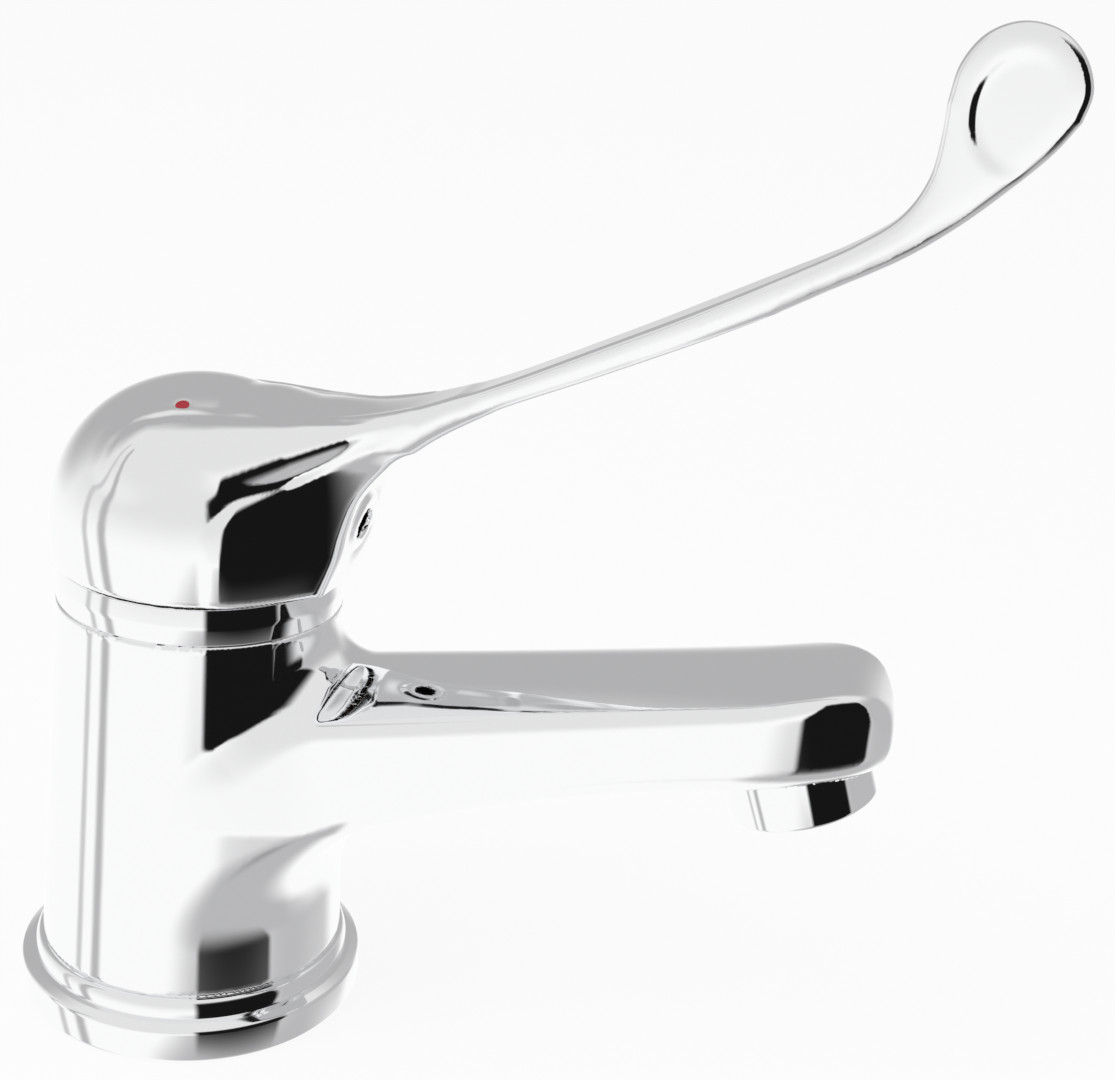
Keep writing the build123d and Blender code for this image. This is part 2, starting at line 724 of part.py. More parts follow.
# Ring with the stops that limit the swivel to either side
with BuildPart() as hot_limit_ring:
    lug_half_angle = degrees(asin(stop_lug_width / 2 / neck_radius))
    block_half_angle = degrees(asin(stop_block_width / 2 / neck_radius))
    stop_angle = swivel_angle + lug_half_angle + block_half_angle + stop_play
    with BuildSketch(Plane.XY.offset(collar_top)):
        Circle(collar_radius)
        Circle(collar_radius - limit_ring_width, mode=Mode.SUBTRACT)
    extrude(amount=limit_ring_height)
    with BuildSketch(Plane.XY.offset(collar_top)):
        with PolarLocations((collar_radius + neck_radius) / 2, 2, start_angle=180 - stop_angle,
                            angular_range=4 * stop_angle):
            Rectangle(collar_radius - neck_radius - face_gap * 2, stop_block_width)
    extrude(amount=limit_ring_height)
hot_limit_ring.part.label = "hot_limit_ring"
export_step(hot_limit_ring.part, "parts/hot_limit_ring.step")

# Nut that clamps the cartridge: skirt round the shell, slots in its top for a key
with BuildPart() as cartridge_nut:
    with BuildSketch(Plane.XZ):
        with BuildLine():
            Polyline((cartridge_radius + face_gap, nut_seat + loose),
                     (nut_thread_outer, nut_seat + loose), (nut_thread_outer, nut_top),
                     (nut_bore_radius, nut_top), (nut_bore_radius, shoulder_top),
                     (cartridge_radius + face_gap, shoulder_top),
                     (cartridge_radius + face_gap, nut_seat + loose))
        make_face()
    revolve(axis=Axis.Z)
    with BuildSketch(Plane.XY.offset(nut_top)):
        with PolarLocations((nut_bore_radius + nut_thread_outer) / 2, nut_slots):
            Rectangle(nut_thread_outer - nut_bore_radius + overrun, nut_slot_width)
    extrude(amount=-nut_slot_depth, mode=Mode.SUBTRACT)
cartridge_nut.part.label = "cartridge_nut"
export_step(cartridge_nut.part, "parts/cartridge_nut.step")

# Lever blank: side outline crossed with the plan outline, long edges rounded
with BuildPart() as lever_blank:
    with BuildSketch(Plane.XZ):
        with BuildLine():
            root = [on_cap(share) for share in lever_root_shares]
            upper = [on_lever(share) for share in lever_upper_shares]
            head = [on_lever(share) for share in head_shares]
            lower = [on_lever(share) for share in lever_lower_shares]
            chin = [on_cap(share) for share in chin_shares]
            Spline(*root, *upper, tangents=((1, 0.25), (0, 1)))
            ThreePointArc(upper[-1], *head)
            Spline(head[-1], *lower, chin[0], tangents=((-0.45, -1), (-0.3, -1)))
            Spline(*chin, tangents=((-0.3, -1), (-0.25, -1)))
            Polyline(chin[-1], (cap_radius / 2, rim_height), root[0])
        make_face()
    extrude(amount=cap_radius, both=True)
    with BuildSketch(Plane.XY):
        with BuildLine():
            plan = [(share[0] * lever_reach, share[1] * lever_half_width)
                    for share in plan_shares]
            plan += [((plan[-1][0] + lever_reach) / 2, paddle_half_width),
                     (lever_reach + overrun, paddle_half_width)]
            Spline(*plan)
            Line(plan[-1], (plan[-1][0], -plan[-1][1]))
            Spline(*[(x, -y) for x, y in reversed(plan)])
            Line((plan[0][0], -plan[0][1]), plan[0])
        make_face()
    extrude(amount=lever_top + overrun, mode=Mode.INTERSECT)
    long_edges = [edge for edge in lever_blank.edges()
                  if abs(edge.center().Y) > paddle_half_width / 2
                  and edge.bounding_box().max.X > chin_reach + cap_wall]
    fillet(long_edges, radius=lever_edge)

# Handle blank: domed cap and lever blended into one, hollowed from the rim
with BuildPart() as handle_blank:
    add(cap_profile(0, rim_outer_radius))
    revolve(axis=Axis.Z)
    cap_edges = handle_blank.edges()
    dome = handle_blank.faces().filter_by(GeomType.PLANE, reverse=True)
    add(lever_blank.part)
    junction = [edge for edge in (handle_blank.edges() - cap_edges).sort_by(Axis.X)
                if edge.bounding_box().max.Z > rim_height + overrun and abs(edge.center().Y) > tiny
                and all(min(face.distance_to(edge @ place) for face in dome) < tiny
                        for place in (0.1, 0.5, 0.9))]
    fillet(junction, radius=junction_radius)
    add(cap_profile(cap_wall, rim_inner_radius))
    revolve(axis=Axis.Z, mode=Mode.SUBTRACT)

# Inside of the cap: the boss for the stem and its web to the chin, kept under the dome
with BuildPart() as boss_blank:
    with BuildSketch(stem_axis.offset(boss_start)):
        Circle(boss_radius)
    extrude(amount=cap_top - pivot_height)
    with BuildSketch(screw_plane):
        Circle(screw_boss_radius)
    extrude(amount=-screw_distance)
    add(cap_profile(cap_wall / 2, rim_inner_radius))
    revolve(axis=Axis.Z, mode=Mode.INTERSECT)

# Handle before its marks are let in: blank, boss, stem socket, screw hole, paddle recesses
with BuildPart() as handle_bare:
    add(handle_blank.part)
    add(boss_blank.part)
    with BuildSketch(stem_axis):
        Rectangle(stem_thickness + slip * 2, stem_width + slip * 2)
    extrude(amount=stem_length + face_gap, mode=Mode.SUBTRACT)
    with BuildSketch(screw_plane):
        Circle(screw_hole_radius)
    extrude(amount=chin_reach, mode=Mode.SUBTRACT)
    for side in (1, -1):
        floor = side * (paddle_half_width - paddle_recess_depth)
        with BuildSketch(Plane.XZ.offset(floor)):
            with Locations((paddle_recess_x, paddle_recess_z)):
                Ellipse(paddle_recess_width / 2, paddle_recess_height / 2)
        extrude(amount=side * lever_half_width, mode=Mode.SUBTRACT)

# Hot and cold marks: round inserts flush with the dome
with BuildPart() as hot_mark:
    add(handle_bare.part)
    with BuildSketch(Plane.XY.offset(cap_top)):
        with Locations((mark_x, -mark_y)):
            Circle(mark_radius)
    extrude(amount=-mark_depth - mark_sink, mode=Mode.INTERSECT)
hot_mark.part.label = "hot_mark"
export_step(hot_mark.part, "parts/hot_mark.step")

with BuildPart() as cold_mark:
    add(handle_bare.part)
    with BuildSketch(Plane.XY.offset(cap_top)):
        with Locations((mark_x, mark_y)):
            Circle(mark_radius)
    extrude(amount=-mark_depth - mark_sink, mode=Mode.INTERSECT)
cold_mark.part.label = "cold_mark"
export_step(cold_mark.part, "parts/cold_mark.step")

# Handle: one hollow casting of cap, lever and paddle
with BuildPart() as handle:
    add(handle_bare.part)
    with BuildSketch(Plane.XY.offset(cap_top)):
        with Locations((mark_x, mark_y), (mark_x, -mark_y)):
            Circle(mark_radius)
    extrude(amount=-mark_depth - mark_sink, mode=Mode.SUBTRACT)
handle.part.label = "handle"
export_step(handle.part, "parts/handle.step")

# Grub screw that clamps the handle to the stem's front face
with BuildPart() as grub_screw:
    with BuildSketch(screw_plane.offset(stem_thickness / 2)):
        Circle(screw_radius)
    extrude(amount=screw_length)
    with BuildSketch(screw_plane.offset(stem_thickness / 2 + screw_length)):
        RegularPolygon(screw_key_width / 2, screw_key_sides, major_radius=False)
    extrude(amount=-screw_key_depth, mode=Mode.SUBTRACT)
grub_screw.part.label = "grub_screw"
export_step(grub_screw.part, "parts/grub_screw.step")

# Aerator housing: collar under the spout and a neck that screws into the mouth
with BuildPart() as aerator_housing:
    with BuildSketch(mouth.offset(-aerator_length)):
        Circle(aerator_radius)
    extrude(amount=aerator_length)
    fillet(aerator_housing.edges().filter_by(GeomType.CIRCLE).sort_by(Axis.Z)[0],
           radius=aerator_edge)
    with BuildSketch(mouth):
        Circle(mouth_bore_radius - slip)
    extrude(amount=aerator_neck_length)
    with BuildSketch(mouth.offset(screen_recess - aerator_length)):
        Circle(aerator_bore_radius)
    extrude(amount=aerator_length + aerator_neck_length - screen_recess, mode=Mode.SUBTRACT)
    with BuildSketch(mouth.offset(-aerator_length)):
        Circle(aerator_bore_radius - aerator_lip)
    extrude(amount=screen_recess, mode=Mode.SUBTRACT)
aerator_housing.part.label = "aerator_housing"
export_step(aerator_housing.part, "parts/aerator_housing.step")

# Screen of six-sided cells behind the housing's lip
with BuildPart() as aerator_screen:
    with BuildSketch(mouth.offset(screen_recess - aerator_length)):
        Circle(aerator_bore_radius - slip)
        RegularPolygon(screen_cell_radius, screen_cell_sides, mode=Mode.SUBTRACT)
        for ring in range(1, screen_rings + 1):
            with PolarLocations(ring * screen_pitch, screen_cell_sides * ring):
                RegularPolygon(screen_cell_radius, screen_cell_sides, mode=Mode.SUBTRACT)
    extrude(amount=screen_thickness)
aerator_screen.part.label = "aerator_screen"
export_step(aerator_screen.part, "parts/aerator_screen.step")

# Diffuser above the screen
with BuildPart() as aerator_diffuser:
    diffuser_base = screen_recess + screen_thickness - aerator_length
    with BuildSketch(mouth.offset(diffuser_base)):
        Circle(aerator_bore_radius - slip)
        Circle(diffuser_hole_radius, mode=Mode.SUBTRACT)
        with PolarLocations(diffuser_pitch, diffuser_holes):
            Circle(diffuser_hole_radius, mode=Mode.SUBTRACT)
    extrude(amount=aerator_neck_length - diffuser_base)
aerator_diffuser.part.label = "aerator_diffuser"
export_step(aerator_diffuser.part, "parts/aerator_diffuser.step")

# Washer between the aerator's neck and the end of the mouth's bore
with BuildPart() as aerator_seal:
    with BuildSketch(mouth.offset(aerator_neck_length)):
        Circle(mouth_bore_radius - slip)
        Circle(mouth_way_radius, mode=Mode.SUBTRACT)
    extrude(amount=aerator_seal_height)
aerator_seal.part.label = "aerator_seal"
export_step(aerator_seal.part, "parts/aerator_seal.step")
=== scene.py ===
"""Elbow lever tap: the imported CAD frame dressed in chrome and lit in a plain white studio."""

import json
import logging
import math
from dataclasses import dataclass
from enum import Enum
from itertools import product
from typing import Callable, Sequence

import bmesh
import bpy
import numpy as np
from mathutils import Matrix, Vector

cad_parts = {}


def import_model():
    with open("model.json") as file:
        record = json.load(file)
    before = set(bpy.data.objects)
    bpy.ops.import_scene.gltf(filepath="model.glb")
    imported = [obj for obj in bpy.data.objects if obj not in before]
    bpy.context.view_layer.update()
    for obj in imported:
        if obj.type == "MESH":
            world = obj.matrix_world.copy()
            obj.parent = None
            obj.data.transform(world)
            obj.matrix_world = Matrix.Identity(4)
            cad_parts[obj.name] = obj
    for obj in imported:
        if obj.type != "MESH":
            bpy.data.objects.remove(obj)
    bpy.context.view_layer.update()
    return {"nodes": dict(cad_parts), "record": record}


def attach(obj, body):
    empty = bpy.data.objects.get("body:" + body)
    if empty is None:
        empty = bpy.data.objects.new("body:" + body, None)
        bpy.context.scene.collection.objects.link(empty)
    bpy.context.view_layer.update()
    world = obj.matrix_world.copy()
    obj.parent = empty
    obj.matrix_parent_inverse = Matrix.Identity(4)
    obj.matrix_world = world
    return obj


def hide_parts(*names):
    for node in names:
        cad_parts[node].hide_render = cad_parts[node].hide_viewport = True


LOG = logging.getLogger("elbow_lever_tap")
MM = 0.001
TINY = 1e-6
TINY_SQUARE = 1e-12
MERGE = 1e-4
CRISP_ANGLE = 50.0
SETTLE_ROUNDS = 2

Array = np.ndarray
Field = Callable[[Array, Array, Array], Array]
Point2 = tuple[float, float]
Station = tuple[float, float, float, float]


class Bodies(str, Enum):
    """The moving bodies that a piece can ride on."""

    FIXED = "fixed"
    LEVER = "lever"


@dataclass(frozen=True)
class Metal:
    """A polished or machined metal finish."""

    name: str
    colour: tuple[float, float, float]
    roughness: float
    smudge: float
    smudge_scale: float


@dataclass(frozen=True)
class Moulding:
    """A plastic, rubber or ceramic finish with a fine surface grain."""

    name: str
    colour: tuple[float, float, float]
    roughness: float
    grain: float
    grain_scale: float
    specular: float = 0.5


CHROME = Metal("chrome_plate", (0.95, 0.953, 0.96), 0.035, 0.02, 60.0)
BRASS = Metal("brass", (0.80, 0.62, 0.30), 0.28, 0.10, 300.0)
STEEL = Metal("steel", (0.56, 0.56, 0.57), 0.25, 0.10, 400.0)
RUBBER = Moulding("rubber", (0.02, 0.02, 0.022), 0.62, 0.12, 900.0, 0.3)
CERAMIC = Moulding("ceramic", (0.86, 0.85, 0.80), 0.16, 0.03, 300.0)
PLASTIC_WHITE = Moulding("plastic_white", (0.80, 0.80, 0.78), 0.38, 0.08, 600.0)
PLASTIC_GREY = Moulding("plastic_grey", (0.22, 0.23, 0.24), 0.42, 0.08, 600.0)
PLASTIC_RED = Moulding("plastic_red", (0.42, 0.015, 0.03), 0.22, 0.03, 500.0)
PLASTIC_BLUE = Moulding("plastic_blue", (0.015, 0.06, 0.42), 0.22, 0.03, 500.0)
METAL_DETAIL = 4.0
SMUDGE_RANGE = (0.35, 0.75)
GRAIN_DETAIL = 3.0
GRAIN_SHADE = 0.88
GRAIN_DEPTH = 0.0002


@dataclass(frozen=True)
class Shot:
    """The camera's place and lens, solved from the photograph for a 60 mm base ring."""

    place: tuple[float, float, float] = (0.12724, -0.27286, 0.19286)
    right: tuple[float, float, float] = (0.9608, 0.2639, 0.0855)
    up: tuple[float, float, float] = (-0.1662, 0.3011, 0.9390)
    focal_pixels: float = 1873.3
    width_pixels: float = 1115.0
    sensor: float = 36.0


@dataclass(frozen=True)
class BodySizes:
    """Sizes of the column and the spout, in millimetres."""

    foot_radius: float = 26.3
    shoulder_radius: float = 24.0
    foot: float = 10.2
    foot_edge: float = 0.6
    top: float = 73.5
    spigot_radius: float = 22.4
    spigot_foot: float = 7.2
    overlap: float = 1.0
    recess_radius: float = 18.5
    recess_top: float = 16.0
    chamber_floor: float = 44.0
    chamber_radius: float = 17.6
    nut_seat: float = 66.0
    nut_radius: float = 19.5
    open_above: float = 5.0
    start: float = 11.0
    start_edge: float = 5.0
    reach: float = 118.5
    half_width: float = 16.4
    tip_width: float = 15.5
    tip_length: float = 24.0
    tip_gentlest: float = 0.5
    under: float = 23.6
    under_slope: float = 0.603
    under_bow: float = 28.8
    under_cosine: float = 0.96
    shoulder: float = 52.6
    shoulder_slope: float = 0.251
    crown: float = 61.4
    crown_slope: float = 0.193
    top_cosine: float = 0.93
    bow_limit: float = 1.3
    nose_radius: float = 12.5
    nose_x: float = 106.0
    nose_z: float = 70.5
    under_edge: float = 4.0
    crease: float = 1.7
    low_blend: float = 15.0
    top_blend: float = 6.5
    blend_change: tuple[float, float] = (42.0, 62.0)
    inlet: tuple[float, float] = (4.5, 7.5)
    inlet_radius: float = 4.5
    inlet_depth: float = 10.0
    stud_x: float = -10.0
    stud_radius: float = 3.4
    stud_depth: float = 12.0
    margin: float = 1.5
    margin_below: float = 1.6
    cell: float = 0.66
    quick_cell: float = 1.3


@dataclass(frozen=True)
class MouthSizes:
    """The tilted seat under the spout's tip and the aerator ring in it, in millimetres."""

    x: float = 102.4
    z: float = 65.71
    tilt: float = 19.5
    seat_radius: float = 12.2
    bore_radius: float = 11.6
    bore_depth: float = 6.6
    ring_radius: float = 12.0
    ring_length: float = 9.2
    ring_edge: float = 0.7
    lip_radius: float = 9.2
    lip_depth: float = 1.2
    lip_edge: float = 0.3
    inner_radius: float = 10.2
    neck_length: float = 5.0
    neck_slip: float = 0.1
    steps: int = 128

    def matrix(self) -> Matrix:
        """The seat's own frame: its axis points up into the spout.

        Returns:
            The frame's matrix, in millimetres.
        """
        tilt = math.radians(self.tilt)
        turn = Matrix.Rotation(-tilt, 4, "Y")
        return Matrix.Translation(Vector((self.x, 0.0, self.z))) @ turn


@dataclass(frozen=True)
class CapSizes:
    """Sizes of the handle's domed cap, in millimetres."""

    rim: float = 80.3
    rim_edge: float = 0.5
    rim_radius: float = 24.6
    rim_inner: float = 23.65
    radius: float = 25.1
    widest: float = 88.0
    side_radius: float = 22.7
    crown_angle: float = 62.7
    wall: float = 2.0
    lip_height: float = 5.0
    pivot: float = 73.0
    lean: float = 12.5
    boss_radius: float = 8.5
    boss_start: float = 16.5
    socket: float = 4.1
    socket_depth: float = 27.3
    screw_distance: float = 23.5
    screw_web: float = 5.0
    screw_hole: float = 2.55

    @property
    def crown_centre(self) -> float:
        """Height of the crown arc's centre."""
        return self.widest - (self.radius - self.side_radius) * math.tan(
            math.radians(self.crown_angle))

    @property
    def crown_radius(self) -> float:
        """Radius of the crown arc, tangent to the side arc."""
        return self.side_radius + (self.radius - self.side_radius) / math.cos(
            math.radians(self.crown_angle))


@dataclass(frozen=True)
class LeverSizes:
    """Outlines of the lever and the paddle, in millimetres: (x, z) beside, (x, half y) above."""

    top: tuple[Point2, ...] = (
        (-6.0, 106.0), (10.0, 109.4), (20.0, 110.3), (30.0, 111.1), (44.0, 115.6), (66.0, 126.7),
        (90.0, 139.9), (102.0, 147.0), (107.5, 151.6), (110.4, 157.0), (111.25, 163.0),
        (111.35, 168.0))
    head: tuple[Point2, ...] = (
        (111.35, 168.0), (112.3, 173.2), (114.9, 177.3), (118.6, 179.4), (122.3, 179.7),
        (126.0, 178.5), (129.2, 175.4), (130.7, 171.2), (129.9, 167.0))
    under: tuple[Point2, ...] = (
        (129.9, 167.0), (126.7, 162.2), (121.4, 156.4), (115.4, 150.6), (108.5, 145.2),
        (98.0, 139.0), (90.0, 134.3), (66.0, 121.8), (50.0, 113.9), (41.0, 108.6), (34.6, 102.9),
        (30.2, 97.0), (28.4, 91.5), (27.4, 86.5), (25.4, 80.3))
    root: tuple[Point2, ...] = ((10.0, 80.3), (-6.0, 92.0))
    plan: tuple[Point2, ...] = (
        (-10.0, 10.6), (0.0, 10.6), (14.0, 10.4), (22.0, 9.3), (28.0, 8.4), (40.0, 7.0),
        (50.0, 5.6), (70.0, 5.5), (82.0, 6.0), (91.0, 5.6), (99.0, 4.5), (107.0, 3.3),
        (114.0, 2.4), (121.0, 2.1), (134.0, 2.1))
    margin: float = 1.5
    margin_below: float = 1.4
    sheet_margin: float = 6.0
    sheet_cell: float = 0.25
    cell: float = 0.56
    quick_cell: float = 1.2
    side_steps: int = 10
    plan_steps: int = 24
    edge: float = 1.0
    blend: tuple[float, float] = (0.4, 5.0)
    blend_change: Point2 = (2.0, 12.0)
    crown_change: Point2 = (14.0, 44.0)
    swell: float = 0.5
    swell_width: float = 4.0
    dish_centre: Point2 = (122.0, 167.3)
    dish_half: Point2 = (8.2, 9.6)
    dish_depth: float = 0.62
    dish_wall: float = 2.4
    dish_fade: Point2 = (113.5, 126.0)


@dataclass(frozen=True)
class Track:
    """A raised or sunken track over the casting.

    Each station is (x, |y|, z, half width, rise) in millimetres; a sunken one has a negative rise.
    """

    stations: tuple[tuple[float, float, float, float, float], ...]
    power: float = 2.0


@dataclass(frozen=True)
class CapForm:
    """The cap's modelling, the same on both sides."""

    crease: Track = Track((
        (-7.4, 20.6, 99.6, 1.5, 0.0), (-6.8, 18.1, 103.1, 1.8, -0.3),
        (-4.0, 15.4, 106.3, 1.8, -0.5), (1.0, 13.4, 108.2, 1.8, -0.5),
        (8.1, 11.7, 109.2, 1.7, -0.5), (18.9, 9.8, 110.1, 1.6, -0.5),
        (28.0, 8.7, 110.7, 1.4, -0.4), (34.5, 7.8, 111.4, 1.2, 0.0)))
    pillow: tuple[Station, ...] = (
        (-1.5, 12.6, 97.6, 10.2), (8.0, 11.8, 100.3, 8.2), (18.0, 10.2, 104.1, 4.9),
        (28.0, 7.9, 107.7, 2.5), (37.0, 6.4, 111.2, 1.2))
    pillow_blend: float = 1.2
    shoulder: tuple[Point2, ...] = (
        (6.0, 87.0), (9.0, 91.0), (12.5, 95.0), (16.8, 98.4), (21.5, 101.2), (27.3, 104.9),
        (33.4, 108.5), (44.0, 114.6))
    shoulder_edge: float = 1.6
    shoulder_cosine: float = 0.85
    arm_foot: tuple[Point2, ...] = (
        (-20.0, 88.0), (10.0, 90.5), (21.5, 99.2), (27.3, 102.9), (33.4, 105.6), (37.0, 106.0),
        (40.0, 104.0), (46.0, 98.0), (60.0, 60.0), (140.0, 40.0))
    arm_foot_edge: float = 1.0
    flank_low: tuple[float, float, float] = (88.0, 13.7, -0.91)
    flank_high: tuple[float, float, float] = (101.0, 13.1, -0.52)
    flank_lean: float = 0.06
    flank_middle: float = 22.0
    flank_start: float = 11.0
    flank_corner: float = 4.0
    flank_blend: float = 2.5
    flank_cosine: float = 0.78
    flank_limits: Point2 = (0.4, 23.0)
    flank_share: float = 1.4
    chin_edge: float = 1.3
    panel: Track = Track((
        (26.0, 0.0, 82.0, 6.6, -0.9), (27.6, 0.0, 87.0, 6.6, -1.1), (28.4, 0.0, 92.0, 6.6, -1.1),
        (30.3, 0.0, 97.5, 6.2, -0.9), (34.8, 0.0, 103.2, 5.0, -0.2)))
    mark: Track = Track(((0.9, 10.6, 109.6, 1.7, -0.12), (0.9, 10.6, 109.7, 1.7, -0.12)), 1.0)
    pad_radius: float = 5.3
    pad_top: float = 24.1
    pad_edge: float = 1.2
    pad_blend: float = 0.6
    fade: Point2 = (80.8, 86.0)
    curve_steps: int = 12

    def lift(self, x: Array, y: Array, z: Array) -> Array:
        """How far the modelling raises the plain cap at each point.

        Args:
            x: Places along the spout.
            y: Places across it.
            z: Heights.

        Returns:
            The rises.
        """
        total = sum(track_rise(x, np.abs(y), z, track) for track in (
            self.crease, self.panel, self.mark))
        return total * eased(z, *self.fade)


def eased(value: Array, low: float, high: float) -> Array:
    """A smooth step from 0 at a low value to 1 at a high one.

    Args:
        value: The values.
        low: Where the step starts.
        high: Where it ends.

    Returns:
        The share of the step at each value.
    """
    share = np.clip((value - low) / (high - low), 0.0, 1.0)
    return share * share * (3.0 - 2.0 * share)


def union(a: Array, b: Array, radius: float) -> Array:
    """Joins two distance fields with a round inside corner.

    Args:
        a: First distance field.
        b: Second distance field.
        radius: Radius of the blend.

    Returns:
        The joined field.
    """
    corner = np.hypot(np.maximum(radius - a, 0.0), np.maximum(radius - b, 0.0))
    return np.maximum(radius, np.minimum(a, b)) - corner


def common(a: Array, b: Array, radius: float) -> Array:
    """Crosses two distance fields with a round outside corner.

    Args:
        a: First distance field.
        b: Second distance field.
        radius: Radius of the rounded edge.

    Returns:
        The common field.
    """
    corner = np.hypot(np.maximum(radius + a, 0.0), np.maximum(radius + b, 0.0))
    return np.minimum(-radius, np.maximum(a, b)) + corner


def track_rise(x: Array, side: Array, z: Array, track: Track) -> Array:
    """How far a track raises the surface at each point.

    Args:
        x: Places along the spout.
        side: Distances from the middle plane.
        z: Heights.
        track: The track.

    Returns:
        The rises.
    """
    nearest = np.full(np.broadcast(x, side, z).shape, np.inf)
    rise = np.zeros_like(nearest)
    for start, end in zip(track.stations, track.stations[1:]):
        run = [b - a for a, b in zip(start, end)]
        offset = (x - start[0], side - start[1], z - start[2])
        reach = run[0] ** 2 + run[1] ** 2 + run[2] ** 2
        share = np.clip(sum(o * r for o, r in zip(offset, run)) / reach, 0.0, 1.0)
        gap = np.sqrt(sum((o - share * r) ** 2 for o, r in zip(offset, run)))
        gap = gap / (start[3] + share * run[3])
        closer = gap < nearest
        nearest = np.where(closer, gap, nearest)
        rise = np.where(closer, start[4] + share * run[4], rise)
    return rise * np.clip(1.0 - nearest * nearest, 0.0, 1.0) ** track.power


def cone_distance(x: Array, side: Array, z: Array, stations: Sequence[Station]) -> Array:
    """Distance field of a chain of round cones.

    Args:
        x: Places along the spout.
        side: Distances from the middle plane.
        z: Heights.
        stations: (x, |y|, z, radius) where the cones meet.

    Returns:
        The distances.
    """
    nearest = np.full(np.broadcast(x, side, z).shape, np.inf)
    for start, end in zip(stations, stations[1:]):
        run = [b - a for a, b in zip(start, end)]
        offset = (x - start[0], side - start[1], z - start[2])
        reach = run[0] ** 2 + run[1] ** 2 + run[2] ** 2
        lean = run[3] / math.sqrt(max(reach - run[3] ** 2, TINY))
        share = sum(o * r for o, r in zip(offset, run)) / reach
        across = np.sqrt(np.maximum(
            sum((o - share * r) ** 2 for o, r in zip(offset, run)), TINY_SQUARE))
        share = np.clip(share + across * lean / math.sqrt(reach), 0.0, 1.0)
        gap = np.sqrt(sum((o - share * r) ** 2 for o, r in zip(offset, run)))
        nearest = np.minimum(nearest, gap - start[3] - share * run[3])
    return nearest


class Sheet:
    """A distance field of the XZ plane, sampled once and read smoothly."""

    def __init__(self, outline: Array, margin: float, cell: float) -> None:
        """Samples the field.

        Args:
            outline: The outline's corners, one row each.
            margin: How far past the outline to sample.
            cell: Size of a cell.
        """
        self.cell = cell
        self.low = outline.min(axis=0) - margin
        counts = np.ceil((outline.max(axis=0) + margin - self.low) / cell).astype(int) + 1
        axes = [self.low[i] + cell * np.arange(counts[i]) for i in range(2)]
        self.values = outline_distance(axes[0][:, None], axes[1][None, :], outline)

    def read(self, u: Array, v: Array) -> Array:
        """The distances at points, by cubic interpolation.

        Args:
            u: First coordinates.
            v: Second coordinates.

        Returns:
            The distances.
        """
        spans, picks = [], []
        for index, place in enumerate((u, v)):
            last = self.values.shape[index] - 3
            step = (place - self.low[index]) / self.cell
            step = np.clip(step, 1.0, last - TINY)
            base = np.floor(step).astype(int)
            t = step - base
            picks.append([base + shift for shift in (-1, 0, 1, 2)])
            spans.append([((2.0 - t) * t - 1.0) * t / 2.0, ((3.0 * t - 5.0) * t * t + 2.0) / 2.0,
                          ((4.0 - 3.0 * t) * t + 1.0) * t / 2.0, (t - 1.0) * t * t / 2.0])
        return sum(a * b * self.values[i, j] for a, i in zip(spans[0], picks[0])
                   for b, j in zip(spans[1], picks[1]))


def curve_through(points: Sequence[Point2], steps: int) -> Array:
    """Samples a smooth curve through points.

    Args:
        points: The points that the curve passes.
        steps: Samples between two points.

    Returns:
        The samples, one row each.
    """
    knots = np.array(points, dtype=float)
    padded = np.vstack([2 * knots[0] - knots[1], knots, 2 * knots[-1] - knots[-2]])
    rows = []
    for index in range(len(knots) - 1):
        before, start, end, after = padded[index:index + 4]
        lengths = [max(math.sqrt(np.linalg.norm(q - p)), TINY)
                   for p, q in ((before, start), (start, end), (end, after))]
        leave = (start - before) / lengths[0] - (end - before) / (lengths[0] + lengths[1])
        leave = (leave + (end - start) / lengths[1]) * lengths[1]
        arrive = (end - start) / lengths[1] - (after - start) / (lengths[1] + lengths[2])
        arrive = (arrive + (after - end) / lengths[2]) * lengths[1]
        for step in range(steps):
            t = step / steps
            rows.append((2 * t ** 3 - 3 * t ** 2 + 1) * start + (t ** 3 - 2 * t ** 2 + t) * leave
                        + (3 * t ** 2 - 2 * t ** 3) * end + (t ** 3 - t ** 2) * arrive)
    rows.append(knots[-1])
    return np.array(rows)


def outline_distance(u: Array, v: Array, outline: Array) -> Array:
    """Signed distance from points of a plane to a closed outline, negative inside.

    Args:
        u: First coordinates.
        v: Second coordinates.
        outline: The outline's corners, one row each.

    Returns:
        The distances.
    """
    shape = np.broadcast(u, v).shape
    points = np.stack([np.broadcast_to(u, shape).ravel(), np.broadcast_to(v, shape).ravel()], 1)
    nearest = np.full(len(points), np.inf)
    inside = np.zeros(len(points), dtype=bool)
    for start, end in zip(outline, np.roll(outline, -1, axis=0)):
        run = end - start
        offset = points - start
        share = np.clip(offset @ run / max(run @ run, TINY_SQUARE), 0.0, 1.0)
        gap = offset - share[:, None] * run
        nearest = np.minimum(nearest, np.einsum("ij,ij->i", gap, gap))
        crosses = (start[1] > points[:, 1]) != (end[1] > points[:, 1])
        if run[1] != 0.0:
            inside ^= crosses & (points[:, 0] < start[0] + run[0] * offset[:, 1] / run[1])
    distance = np.sqrt(nearest)
    return np.where(inside, -distance, distance).reshape(shape)


def cylinder_distance(x: Array, y: Array, z: Array, centre: Point2, radius: float, low: float,
                      high: float) -> Array:
    """Distance field of an upright cylinder.

    Args:
        x: Places along the spout.
        y: Places across it.
        z: Heights.
        centre: The cylinder's middle in plan.
        radius: Its radius.
        low: Its foot.
        high: Its top.

    Returns:
        The distances.
    """
    around = np.hypot(x - centre[0], y - centre[1]) - radius
    return np.maximum(around, np.maximum(low - z, z - high))


